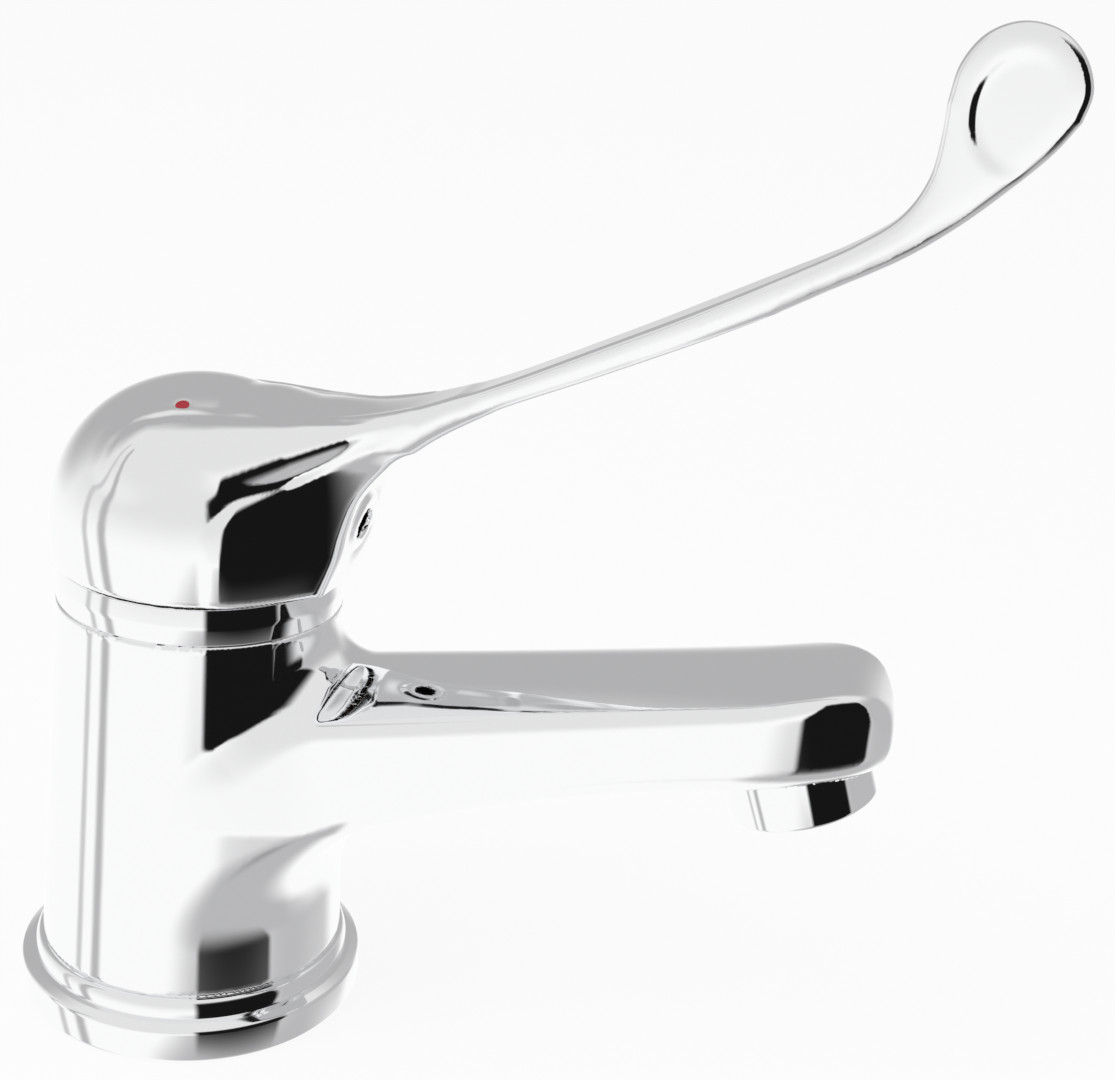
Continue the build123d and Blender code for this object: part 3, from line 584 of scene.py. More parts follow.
def banded(field: Field, low: Sequence[float], high: Sequence[float], cell: float) -> Array:
    """Samples a field on a grid, finely only near its zero surface.

    Args:
        field: Distance field, negative inside.
        low: Lowest corner of the grid.
        high: Highest corner.
        cell: Size of a cell.

    Returns:
        The field's values. Away from the surface only their sign is right.
    """
    block, spare = 4, 1.5
    counts = [block * math.ceil((b - a) / cell / block) + 1 for a, b in zip(low, high)]
    rough = [a + cell * (block * np.arange(n // block + 1)) for a, n in zip(low, counts)]
    far = field(rough[0][:, None, None], rough[1][None, :, None], rough[2][None, None, :])
    picks = [np.rint(np.arange(n) / block).astype(int) for n in counts]
    value = far[np.ix_(*picks)]
    near = np.argwhere(np.abs(value) < cell * (block * math.sqrt(3) / 2 + spare))
    places = np.array(low) + cell * near
    value[tuple(near.T)] = field(*places.T)
    return value


def net(field: Field, low: Sequence[float], high: Sequence[float],
        cell: float) -> tuple[Array, Array]:
    """Covers a field's zero surface with a net of quads.

    Args:
        field: Distance field, negative inside.
        low: Lowest corner of the space to search.
        high: Highest corner.
        cell: Size of a cell.

    Returns:
        The points and the quads.
    """
    value = banded(field, low, high, cell)
    size = value.shape
    inside = value < 0.0
    corners = list(product((0, 1), repeat=3))

    def at(grid: Array, corner: tuple[int, int, int]) -> Array:
        """The grid's values at one corner of every cell."""
        return grid[tuple(slice(c, n - 1 + c) for c, n in zip(corner, size))]

    count = sum(at(inside, corner).astype(int) for corner in corners)
    active = (count > 0) & (count < 8)
    cells = np.argwhere(active)
    total = np.zeros((len(cells), 3))
    hits = np.zeros(len(cells))
    for first, second in product(corners, corners):
        if sum(second) - sum(first) != 1 or any(b < a for a, b in zip(first, second)):
            continue
        a = at(value, first)[active]
        b = at(value, second)[active]
        crosses = (a < 0.0) != (b < 0.0)
        share = np.where(crosses, a / np.where(crosses, a - b, 1.0), 0.0)
        place = np.array(first) + share[:, None] * (np.array(second) - np.array(first))
        total += np.where(crosses[:, None], place, 0.0)
        hits += crosses
    points = np.array(low) + cell * (cells + total / hits[:, None])
    number = np.full(active.shape, -1)
    number[active] = np.arange(len(cells))
    quads = []
    for axis in range(3):
        others = [a for a in range(3) if a != axis]
        lower = tuple(slice(0, -1) if a == axis else slice(1, -1) for a in range(3))
        upper = tuple(slice(1, None) if a == axis else slice(1, -1) for a in range(3))
        change = inside[lower] != inside[upper]
        base = np.argwhere(change)
        base[:, others] += 1
        leaves = inside[lower][change] == (axis != 1)
        ring = []
        for shift in ((0, 0), (1, 0), (1, 1), (0, 1)):
            place = base.copy()
            place[:, others[0]] -= shift[0]
            place[:, others[1]] -= shift[1]
            ring.append(number[place[:, 0], place[:, 1], place[:, 2]])
        loop = np.stack(ring, 1)
        quads.append(np.where(leaves[:, None], loop, loop[:, ::-1]))
    return points, np.concatenate(quads)


def settle(points: Array, quads: Array, field: Field, rounds: int, reach: float) -> Array:
    """Evens a net out along its surface and pulls its points onto the surface.

    Args:
        points: The net's points.
        quads: The net's quads.
        field: Distance field that the net covers.
        rounds: How often to even it out.
        reach: The furthest that a point may move in one pull.

    Returns:
        The new points.
    """
    step, gentlest, shortest, ease = 0.02, 0.25, 1e-9, 0.5
    starts = np.concatenate([quads[:, i] for i in range(4)])
    ends = np.concatenate([quads[:, (i + 1) % 4] for i in range(4)])
    degree = np.bincount(starts, minlength=len(points)) + np.bincount(ends, minlength=len(points))

    def pull(place: Array) -> Array:
        """Moves points towards the surface.

        Args:
            place: The points.

        Returns:
            The moved points.
        """
        value = field(*place.T)
        slope = np.stack([(field(*(place + shift).T) - field(*(place - shift).T)) / (2 * step)
                          for shift in np.eye(3) * step], 1)
        steep = np.maximum(np.einsum("ij,ij->i", slope, slope), gentlest)
        move = -(value / steep)[:, None] * slope
        length = np.maximum(np.linalg.norm(move, axis=1), shortest)
        return place + move * np.minimum(1.0, reach / length)[:, None]

    points = pull(pull(points))
    for _ in range(rounds):
        near = np.zeros_like(points)
        np.add.at(near, starts, points[ends])
        np.add.at(near, ends, points[starts])
        points = pull(points + ease * (near / degree[:, None] - points))
    return points


def piece_from(name: str, points: Array, faces: Array, crisp: float) -> bpy.types.Object:
    """Makes a smooth-shaded mesh object from points in millimetres.

    Args:
        name: Name of the new piece.
        points: Points, one row each.
        faces: Faces, one row each.
        crisp: Angle in degrees above which an edge stays sharp.

    Returns:
        The new object.
    """
    mesh = bpy.data.meshes.new(name)
    mesh.from_pydata((points * MM).tolist(), [], faces.tolist())
    mesh.validate()
    piece = bpy.data.objects.new(name, mesh)
    bpy.context.scene.collection.objects.link(piece)
    finish_mesh(piece, crisp)
    return piece


def finish_mesh(piece: bpy.types.Object, crisp: float) -> None:
    """Turns a mesh's faces outward, shades them smooth and keeps sharp edges sharp.

    Args:
        piece: The piece.
        crisp: Angle in degrees above which an edge stays sharp.
    """
    form = bmesh.new()
    form.from_mesh(piece.data)
    bmesh.ops.recalc_face_normals(form, faces=form.faces)
    form.to_mesh(piece.data)
    form.free()
    piece.data.shade_smooth()
    piece.data.set_sharp_from_angle(angle=math.radians(crisp))


def rounded(corners: Sequence[tuple[float, float, float]], steps: int = 6) -> list[Point2]:
    """A closed outline with rounded corners.

    Args:
        corners: (radius out, height, corner radius) of each corner.
        steps: Segments in each rounded corner.

    Returns:
        The outline's points.
    """
    outline: list[Point2] = []
    total = len(corners)
    for index, (u, v, radius) in enumerate(corners):
        here = Vector((u, v))
        if radius <= 0.0:
            outline.append((u, v))
            continue
        back = Vector(corners[index - 1][:2]) - here
        ahead = Vector(corners[(index + 1) % total][:2]) - here
        half = back.angle(ahead) / 2
        start = here + back.normalized() * (radius / math.tan(half))
        end = here + ahead.normalized() * (radius / math.tan(half))
        centre = here + (back.normalized() + ahead.normalized()).normalized() * (
            radius / math.sin(half))
        first = start - centre
        turn = first.angle_signed(end - centre)
        for step in range(steps + 1):
            angle = -turn * step / steps
            spoke = Matrix.Rotation(angle, 2) @ first
            outline.append(tuple(centre + spoke))
    return outline


def spun(name: str, outline: Sequence[Point2], steps: int, crisp: float = 35.0,
         matrix: Matrix | None = None) -> bpy.types.Object:
    """Spins a closed outline round the upright axis.

    Args:
        name: Name of the new piece.
        outline: (radius, height) points in millimetres.
        steps: Segments round the axis.
        crisp: Angle in degrees above which an edge stays sharp.
        matrix: Where to put the turned piece, in millimetres.

    Returns:
        The new object.
    """
    form = bmesh.new()
    ring = [form.verts.new((u, 0.0, v)) for u, v in outline]
    edges = [form.edges.new((a, b)) for a, b in zip(ring, ring[1:] + ring[:1])]
    bmesh.ops.spin(form, geom=ring + edges, cent=(0, 0, 0), axis=(0, 0, 1), dvec=(0, 0, 0),
                   angle=math.tau, steps=steps, use_merge=True)
    bmesh.ops.remove_doubles(form, verts=form.verts, dist=MERGE)
    bmesh.ops.transform(form, matrix=matrix or Matrix.Identity(4), verts=form.verts)
    bmesh.ops.scale(form, vec=(MM, MM, MM), verts=form.verts)
    mesh = bpy.data.meshes.new(name)
    form.to_mesh(mesh)
    form.free()
    piece = bpy.data.objects.new(name, mesh)
    bpy.context.scene.collection.objects.link(piece)
    finish_mesh(piece, crisp)
    return piece


class Finishes:
    """Makes each finish once and hands it out."""

    def __init__(self) -> None:
        """Starts with no finish made."""
        self._made: dict[str, bpy.types.Material] = {}

    def metal(self, finish: Metal) -> bpy.types.Material:
        """A metal whose gloss varies a little over its surface.

        Args:
            finish: What the metal looks like.

        Returns:
            The material.
        """
        if finish.name in self._made:
            return self._made[finish.name]
        material, nodes, links, shader = self._start(finish.name)
        shader.inputs["Base Color"].default_value = (*finish.colour, 1.0)
        shader.inputs["Metallic"].default_value = 1.0
        noise = self._noise(nodes, links, finish.smudge_scale, METAL_DETAIL)
        spread = nodes.new("ShaderNodeMapRange")
        spread.inputs["From Min"].default_value = SMUDGE_RANGE[0]
        spread.inputs["From Max"].default_value = SMUDGE_RANGE[1]
        spread.inputs["To Min"].default_value = finish.roughness
        spread.inputs["To Max"].default_value = finish.roughness + finish.smudge
        links.new(noise.outputs["Fac"], spread.inputs["Value"])
        links.new(spread.outputs["Result"], shader.inputs["Roughness"])
        self._made[finish.name] = material
        return material

    def moulding(self, finish: Moulding) -> bpy.types.Material:
        """A moulded or lapped finish with a fine grain.

        Args:
            finish: What the moulding looks like.

        Returns:
            The material.
        """
        if finish.name in self._made:
            return self._made[finish.name]
        material, nodes, links, shader = self._start(finish.name)
        shader.inputs["Specular IOR Level"].default_value = finish.specular
        noise = self._noise(nodes, links, finish.grain_scale, GRAIN_DETAIL)
        tint = nodes.new("ShaderNodeMix")
        tint.data_type = "RGBA"
        tint.inputs["A"].default_value = (*[c * GRAIN_SHADE for c in finish.colour], 1.0)
        tint.inputs["B"].default_value = (*finish.colour, 1.0)
        links.new(noise.outputs["Fac"], tint.inputs["Factor"])
        links.new(tint.outputs["Result"], shader.inputs["Base Color"])
        shader.inputs["Roughness"].default_value = finish.roughness
        bump = nodes.new("ShaderNodeBump")
        bump.inputs["Strength"].default_value = finish.grain
        bump.inputs["Distance"].default_value = GRAIN_DEPTH
        links.new(noise.outputs["Fac"], bump.inputs["Height"])
        links.new(bump.outputs["Normal"], shader.inputs["Normal"])
        self._made[finish.name] = material
        return material

    @staticmethod
    def _start(name: str) -> tuple[bpy.types.Material, bpy.types.Nodes, bpy.types.NodeLinks,
                                   bpy.types.Node]:
        """Starts a material.

        Args:
            name: Its name.

        Returns:
            The material, its nodes, its links and its shader.
        """
        material = bpy.data.materials.new(name)
        material.use_nodes = True
        nodes, links = material.node_tree.nodes, material.node_tree.links
        return material, nodes, links, nodes["Principled BSDF"]

    @staticmethod
    def _noise(nodes: bpy.types.Nodes, links: bpy.types.NodeLinks, scale: float,
               detail: float) -> bpy.types.Node:
        """Adds a noise on the piece's own coordinates.

        Args:
            nodes: The material's nodes.
            links: Its links.
            scale: The noise's scale.
            detail: The noise's detail.

        Returns:
            The noise node.
        """
        place = nodes.new("ShaderNodeTexCoord")
        noise = nodes.new("ShaderNodeTexNoise")
        noise.inputs["Scale"].default_value = scale
        noise.inputs["Detail"].default_value = detail
        links.new(place.outputs["Object"], noise.inputs["Vector"])
        return noise


class BodyPiece:
    """The column and spout as one smooth casting."""

    def __init__(self, sizes: BodySizes, mouth: MouthSizes) -> None:
        """Keeps the sizes and the way into the mouth's own frame.

        Args:
            sizes: The body's sizes.
            mouth: The mouth's sizes.
        """
        self.sizes = sizes
        self.mouth = mouth
        self._into_mouth = np.array(mouth.matrix().inverted())

    def distance(self, x: Array, y: Array, z: Array) -> Array:
        """Distance field of the whole body.

        Args:
            x: Places along the spout.
            y: Places across it.
            z: Heights.

        Returns:
            The distances, negative inside.
        """
        s = self.sizes
        share = np.clip((z - s.blend_change[0]) / (s.blend_change[1] - s.blend_change[0]), 0, 1)
        blend = s.low_blend + (s.top_blend - s.low_blend) * share
        form = union(self._column(x, y, z), self._spout(x, y, z), blend)
        spigot = np.maximum(np.hypot(x, y) - s.spigot_radius,
                            np.maximum(s.spigot_foot - z, z - s.foot - s.overlap))
        form = np.minimum(form, spigot)
        for centre, radius, low, high in self._bores():
            form = np.maximum(form, -cylinder_distance(x, y, z, centre, radius, low, high))
        a, b, c = self._mouth_place(x, y, z)
        out = np.hypot(a, b)
        form = np.maximum(form, -np.maximum(out - self.mouth.seat_radius, c))
        return np.maximum(form, -np.maximum(out - self.mouth.bore_radius,
                                            np.abs(c) - self.mouth.bore_depth))

    def _bores(self) -> list[tuple[Point2, float, float, float]]:
        """Lists the upright bores.

        Returns:
            The centre, radius, foot and top of each.
        """
        s = self.sizes
        top = s.top + s.open_above
        bores = [((0.0, 0.0), s.recess_radius, 0.0, s.recess_top),
                 ((0.0, 0.0), s.chamber_radius, s.chamber_floor, top),
                 ((0.0, 0.0), s.nut_radius, s.nut_seat, top),
                 ((s.stud_x, 0.0), s.stud_radius, 0.0, s.recess_top + s.stud_depth)]
        for side in (1.0, -1.0):
            bores.append(((s.inlet[0], side * s.inlet[1]), s.inlet_radius, 0.0,
                          s.recess_top + s.inlet_depth))
        return bores

    def _mouth_place(self, x: Array, y: Array, z: Array) -> tuple[Array, Array, Array]:
        """The same points in the mouth's own frame."""
        m = self._into_mouth
        return tuple(m[i, 0] * x + m[i, 1] * y + m[i, 2] * z + m[i, 3] for i in range(3))

    def _column(self, x: Array, y: Array, z: Array) -> Array:
        """Distance field of the tapered column.

        Args:
            x: Places along the spout.
            y: Places across it.
            z: Heights.

        Returns:
            The distances.
        """
        s = self.sizes
        taper = (s.foot_radius - s.shoulder_radius) / (s.top - s.foot)
        side = (np.hypot(x, y) - s.foot_radius + (z - s.foot) * taper) / math.hypot(1.0, taper)
        return common(common(side, s.foot - z, s.foot_edge), z - s.top, s.foot_edge)

    def _spout(self, x: Array, y: Array, z: Array) -> Array:
        """Distance field of the solid spout.

        Args:
            x: Places along the spout.
            y: Places across it.
            z: Heights.

        Returns:
            The distances.
        """
        s = self.sizes
        tip = s.reach - s.tip_length
        half = s.half_width + (s.tip_width - s.half_width) * np.clip(x / tip, 0.0, 1.0)
        ahead = np.maximum(x - tip, 0.0)
        out = np.hypot(ahead / s.tip_length, y / half)
        steep = np.hypot(ahead / s.tip_length ** 2, y / half ** 2) / np.maximum(out, TINY)
        plan = (out - 1.0) / np.maximum(steep, s.tip_gentlest / s.tip_length)
        under = s.under + x * s.under_slope - s.under_bow * (x / s.reach) ** 2 - z
        edge = s.shoulder + x * s.shoulder_slope
        crown = s.crown + x * s.crown_slope
        bow = np.clip(np.abs(y) / half, 0.0, s.bow_limit) ** 2
        top = (z - crown + (crown - edge) * bow) * s.top_cosine
        nose = np.hypot(np.maximum(x - s.nose_x, 0.0), np.maximum(z - s.nose_z, 0.0))
        top = common(top, nose - s.nose_radius, s.under_edge)
        form = common(plan, under * s.under_cosine, s.under_edge)
        form = common(form, top, s.crease)
        return common(form, s.start - x, s.start_edge)

    def build(self) -> bpy.types.Object:
        """Makes the casting's mesh.

        Returns:
            The new piece.
        """
        s = self.sizes
        outer = s.foot_radius + s.margin
        low = (-outer, -outer, s.spigot_foot - s.margin_below)
        high = (s.reach + s.margin, outer, s.nose_z + s.nose_radius + s.margin)
        cell = s.cell
        points, quads = net(self.distance, low, high, cell)
        points = settle(points, quads, self.distance, SETTLE_ROUNDS, cell)
        piece = piece_from("chrome_body", points, quads, CRISP_ANGLE)
        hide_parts("body")
        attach(piece, Bodies.FIXED.value)
        return piece


class HandlePiece:
    """The cap, the lever and the elbow paddle as one smooth casting."""

    def __init__(self, cap: CapSizes, lever: LeverSizes, form: CapForm) -> None:
        """Keeps the sizes and draws the outlines that the fields read.

        Args:
            cap: The cap's sizes.
            lever: The lever's outlines.
            form: The cap's modelling.
        """
        self.cap = cap
        self.lever = lever
        self.form = form
        side = [curve_through(points, lever.side_steps)
                for points in (lever.top, lever.head, lever.under)]
        self.outline = np.vstack([side[0], side[1][1:], side[2][1:], np.array(lever.root)])
        self.sheet = Sheet(self.outline, lever.sheet_margin, lever.sheet_cell)
        self.plan = curve_through(lever.plan, lever.plan_steps)
        self.arm_foot = curve_through(form.arm_foot, form.curve_steps)
        self.shoulder = curve_through(form.shoulder, form.curve_steps)

    def distance(self, x: Array, y: Array, z: Array) -> Array:
        """Distance field of the whole handle.

        Args:
            x: Places along the spout.
            y: Places across it.
            z: Heights.

        Returns:
            The distances, negative inside.
        """
        cap, lever, shape = self.cap, self.lever, self.form
        around, side = np.hypot(x, y), np.abs(y)
        beside = self.sheet.read(x, z)
        lift = shape.lift(x, y, z)
        blend = lever.blend[0] + (lever.blend[1] - lever.blend[0]) * eased(x, *lever.blend_change)
        form = union(self._dome(around, z), self._arm(x, side, z, beside), blend)
        form = union(form, self._flank(x, side, z, beside), shape.flank_blend)
        form = union(form, cone_distance(x, side, z, shape.pillow), shape.pillow_blend) - lift
        along, across = self._stem_place(x, z)
        pad = common(np.hypot(along - cap.screw_distance, y) - shape.pad_radius,
                     np.maximum(across - shape.pad_top, -across), shape.pad_edge)
        form = union(form, pad, shape.pad_blend)
        form = common(form, cap.rim - z, cap.rim_edge)
        form = np.maximum(form, -self._hollow(x, y, z, around, np.minimum(lift, 0.0)))
        return np.maximum(form, -self._screw(x, y, z, cap.screw_hole))

    def _arm(self, x: Array, side: Array, z: Array, beside: Array) -> Array:
        """Distance field of the lever and the paddle, without the flanks below the shoulder.

        Args:
            x: Places along the spout.
            side: Distances from the middle plane.
            z: Heights.
            beside: Distances to the lever's outline.

        Returns:
            The distances.
        """
        lever, shape = self.lever, self.form
        swell = lever.swell * np.clip(1.0 + beside / lever.swell_width, 0.0, 1.0) ** 2
        half = np.interp(x, self.plan[:, 0], self.plan[:, 1]) - self._dish(x, z) - swell
        crown = side * side / (2.0 * self.cap.crown_radius) * (
            1.0 - eased(x, *lever.crown_change))
        arm = common(self.sheet.read(x, z + crown), side - half, lever.edge)
        foot = np.interp(x, self.arm_foot[:, 0], self.arm_foot[:, 1])
        return common(arm, shape.shoulder_cosine * (foot - z), shape.arm_foot_edge)

    def _dome(self, around: Array, z: Array) -> Array:
        """Distance field of the plain cap: a bowed skirt, a side arc and a crown arc.

        Args:
            around: Distances from the upright axis.
            z: Heights.

        Returns:
            The distances.
        """
        cap = self.cap
        inner = cap.radius - cap.side_radius
        side = np.hypot(around - inner, np.maximum(z - cap.widest, 0.0)) - cap.side_radius
        drop = np.maximum(cap.widest - z, 0.0)
        bow = (cap.radius - cap.rim_radius) / (cap.widest - cap.rim) ** 2
        side = np.where(drop > 0.0, around - cap.radius + bow * drop ** 2, side)
        crown = np.hypot(around, z - cap.crown_centre) - cap.crown_radius
        above = np.arctan2(z - cap.widest, np.maximum(around - inner, TINY))
        return np.where(above > math.radians(cap.crown_angle), crown, side)

    def _flank(self, x: Array, side: Array, z: Array, beside: Array) -> Array:
        """Distance field of the flat flanks under the lever, from the cap's side to the chin.

        Args:
            x: Places along the spout.
            side: Distances from the middle plane.
            z: Heights.
            beside: Distances to the lever's outline.

        Returns:
            The distances.
        """
        shape = self.form
        low, high = shape.flank_low, shape.flank_high
        share = np.clip((z - low[0]) / (high[0] - low[0]), 0.0, shape.flank_share)
        slope = low[2] + (high[2] - low[2]) * share
        half = low[1] + (high[1] - low[1]) * share + slope * (x - shape.flank_middle)
        half = np.clip(half - shape.flank_lean * np.maximum(low[0] - z, 0.0), *shape.flank_limits)
        flank = common(beside, shape.flank_cosine * (side - half), shape.chin_edge)
        flank = common(flank, shape.flank_start - x, shape.flank_corner)
        top = np.interp(x, self.shoulder[:, 0], self.shoulder[:, 1])
        return common(flank, shape.shoulder_cosine * (z - top), shape.shoulder_edge)

    def _stem_place(self, x: Array, z: Array) -> tuple[Array, Array]:
        """Turns points into the leaning stem's frame.

        Args:
            x: Places along the spout.
            z: Heights.

        Returns:
            How far along the stem and how far in front of it they are.
        """
        lean = math.radians(self.cap.lean)
        along = x * math.sin(lean) + (z - self.cap.pivot) * math.cos(lean)
        across = x * math.cos(lean) - (z - self.cap.pivot) * math.sin(lean)
        return along, across

    def _screw(self, x: Array, y: Array, z: Array, radius: float) -> Array:
        """Distance field of a rod round the grub screw's line."""
        along, across = self._stem_place(x, z)
        return np.maximum(np.hypot(along - self.cap.screw_distance, y) - radius, -across)

    def _hollow(self, x: Array, y: Array, z: Array, around: Array, sunk: Array) -> Array:
        """Distance field of the cap's inside, round the stem's socket and the screw's web.

        Args:
            x: Places along the spout.
            y: Places across it.
            z: Heights.
            around: Distances from the upright axis.
            sunk: How far the modelling sinks the outside, as negative numbers.

        Returns:
            The distances.
        """
        cap = self.cap
        along, across = self._stem_place(x, z)
        thin = cap.wall - cap.rim_radius + cap.rim_inner
        lip = cap.wall - thin * np.clip(1.0 - (z - cap.rim) / cap.lip_height, 0.0, 1.0)
        void = self._dome(around, z) + lip - sunk
        boss = np.maximum(np.hypot(across, y) - cap.boss_radius, cap.boss_start - along)
        void = np.maximum(void, -np.minimum(boss, self._screw(x, y, z, cap.screw_web)))
        socket = np.maximum(np.maximum(np.abs(across), np.abs(y)) - cap.socket,
                            along - cap.socket_depth)
        return np.minimum(void, socket)

    def _dish(self, x: Array, z: Array) -> Array:
        """Depth of the recess in the paddle's face.

        Args:
            x: Places along the spout.
            z: Heights.

        Returns:
            The depths.
        """
        lever = self.lever
        out = np.hypot((x - lever.dish_centre[0]) / lever.dish_half[0],
                       (z - lever.dish_centre[1]) / lever.dish_half[1]) - 1.0
        wall = np.clip(-out * lever.dish_half[0] / lever.dish_wall, 0.0, 1.0)
        fade = np.clip((x - lever.dish_fade[0]) / (lever.dish_fade[1] - lever.dish_fade[0]), 0, 1)
        return lever.dish_depth * (1.0 - fade) * wall * wall * (3.0 - 2.0 * wall)

    def build(self) -> bpy.types.Object:
        """Makes the casting's mesh.

        Returns:
            The new piece.
        """
        cap, lever = self.cap, self.lever
        outer = cap.radius + lever.margin
        low = (-outer, -outer, cap.rim - lever.margin_below)
        high = (self.outline[:, 0].max() + lever.margin, outer,
                self.outline[:, 1].max() + lever.margin)
        cell = lever.cell
        points, quads = net(self.distance, low, high, cell)
        points = settle(points, quads, self.distance, SETTLE_ROUNDS, cell)
        piece = piece_from("chrome_handle", points, quads, CRISP_ANGLE)
        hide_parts("handle")
        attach(piece, Bodies.LEVER.value)
        return piece


@dataclass(frozen=True)
class BaseRingSizes:
    """Sizes of the ring on the worktop, in millimetres."""

    bore: float = 21.0
    radius: float = 30.0
    wall_top: float = 6.1
    edge: float = 0.9
    step_radius: float = 28.4
    step_top: float = 6.95
    step_edge: float = 0.5
    groove: Point2 = (23.2, 26.2)
    groove_depth: float = 1.5
    cove_radius: float = 26.3
    cove_width: float = 1.3
    cove_foot: float = 7.2
    cove_height: float = 3.0
    cove_step: int = 15
    seat_radius: float = 22.5
    seat: float = 7.0
    top: float = 10.2
    steps: int = 160


@dataclass(frozen=True)
class TrimRingSizes:
    """Sizes of the domed collar, in millimetres."""

    bore: float = 19.8
    foot: float = 73.5
    foot_radius: float = 23.9
    foot_edge: float = 0.3
    middle: float = 76.6
    middle_radius: float = 24.05
    dome: float = 4.0
    dome_steps: int = 8
    top: float = 79.8
    top_radius: float = 23.5
    top_edge: float = 0.5
    steps: int = 160


class TurnedPieces:
    """The base ring, the trim ring and the aerator's ring, all turned parts."""

    def __init__(self, base: BaseRingSizes, trim: TrimRingSizes, mouth: MouthSizes) -> None:
        """Keeps the sizes.

        Args:
            base: The base ring's sizes.
            trim: The trim ring's sizes.
            mouth: The mouth's sizes.
        """
        self.base = base
        self.trim = trim
        self.mouth = mouth

    def base_ring(self) -> bpy.types.Object:
        """The ring on the worktop: upright wall, groove and cove.

        Returns:
            The new piece.
        """
        b = self.base
        cove = [(b.cove_radius + b.cove_width * math.cos(a),
                 b.cove_foot + b.cove_height * math.sin(a), 0.0)
                for a in (math.radians(d) for d in range(0, 91, b.cove_step))]
        corners = [(b.bore, 0.0, 0.0), (b.groove[0], 0.0, 0.0), (b.groove[0], b.groove_depth, 0.0),
                   (b.groove[1], b.groove_depth, 0.0), (b.groove[1], 0.0, 0.0),
                   (b.radius, 0.0, b.edge), (b.radius, b.wall_top, b.edge),
                   (b.step_radius, b.step_top, b.step_edge), *cove, (b.seat_radius, b.top, 0.0),
                   (b.seat_radius, b.seat, 0.0), (b.bore, b.seat, 0.0)]
        return self._fit(spun("chrome_base_ring", rounded(corners), b.steps), "base_ring")

    def trim_ring(self) -> bpy.types.Object:
        """The domed collar between the body and the handle.

        Returns:
            The new piece.
        """
        t = self.trim
        corners = [(t.bore, t.foot, 0.0), (t.foot_radius, t.foot, t.foot_edge),
                   (t.middle_radius, t.middle, t.dome), (t.top_radius, t.top, t.top_edge),
                   (t.bore, t.top, 0.0)]
        ring = spun("chrome_trim_ring", rounded(corners, t.dome_steps), t.steps)
        return self._fit(ring, "trim_ring")

    def aerator_ring(self) -> bpy.types.Object:
        """The ring at the spout's mouth, with the lip round the screen.

        Returns:
            The new piece.
        """
        m = self.mouth
        foot = -m.ring_length
        neck = m.bore_radius - m.neck_slip
        corners = [(m.lip_radius, foot, m.lip_edge), (m.ring_radius, foot, m.ring_edge),
                   (m.ring_radius, 0.0, 0.0), (neck, 0.0, 0.0), (neck, m.neck_length, 0.0),
                   (m.inner_radius, m.neck_length, 0.0),
                   (m.inner_radius, foot + m.lip_depth, 0.0),
                   (m.lip_radius, foot + m.lip_depth, 0.0)]
        ring = spun("chrome_aerator_ring", rounded(corners), m.steps, matrix=m.matrix())
        return self._fit(ring, "aerator_housing")

    @staticmethod
    def _fit(piece: bpy.types.Object, node: str) -> bpy.types.Object:
        """Puts a piece in a CAD node's place on the fixed body.

        Args:
            piece: The piece.
            node: The node that it replaces.

        Returns:
            The piece.
        """
        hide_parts(node)
        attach(piece, Bodies.FIXED.value)
        return piece


@dataclass(frozen=True)
class Patch:
    """A soft-edged patch of the room, by direction in degrees, that reflections see."""

    name: str
    azimuth: float
    elevation: float
    width: float
    height: float
    soft: tuple[float, float]
    grey: float


ROOM = (
    Patch("behind", 120.0, 30.0, 90.0, 60.0, (34.0, 26.0), 0.46),
    Patch("right_side", 28.0, 0.0, 70.0, 70.0, (20.0, 30.0), 0.50),
    Patch("floor_right", -22.0, -50.0, 80.0, 40.0, (24.0, 20.0), 0.50),
    Patch("strip_left", -143.0, -10.0, 7.0, 110.0, (5.0, 10.0), 0.50),
    Patch("strip_rear", -160.0, -10.0, 5.0, 110.0, (4.0, 10.0), 0.62),
    Patch("dark_right", -33.0, 2.0, 58.0, 78.0, (5.0, 22.0), 0.008),
)
WALL = {"From Min": -0.32, "From Max": 0.30, "To Min": 1.0, "To Max": 0.80}
COOL = 1.01
AHEAD = 0.01


@dataclass(frozen=True)
class Lamp:
    """A soft square lamp that reflections don't show: its place, side and power in watts."""

    name: str
    place: tuple[float, float, float]
    size: float
    power: float


LAMPS = (Lamp("key", (-0.5, -0.6, 0.9), 0.6, 4.0), Lamp("fill", (0.9, -0.3, 0.6), 0.5, 1.5))


@dataclass(frozen=True)
class StudioLook:
    """The floor, the backdrop and the point that the lamps face."""

    floor_half: float = 9.0
    floor_grey: float = 0.86
    floor_roughness: float = 0.9
    floor_glow: float = 0.90
    backdrop_grey: float = 0.966
    middle: tuple[float, float, float] = (0.04, 0.0, 0.08)
    clip_start: float = 0.01


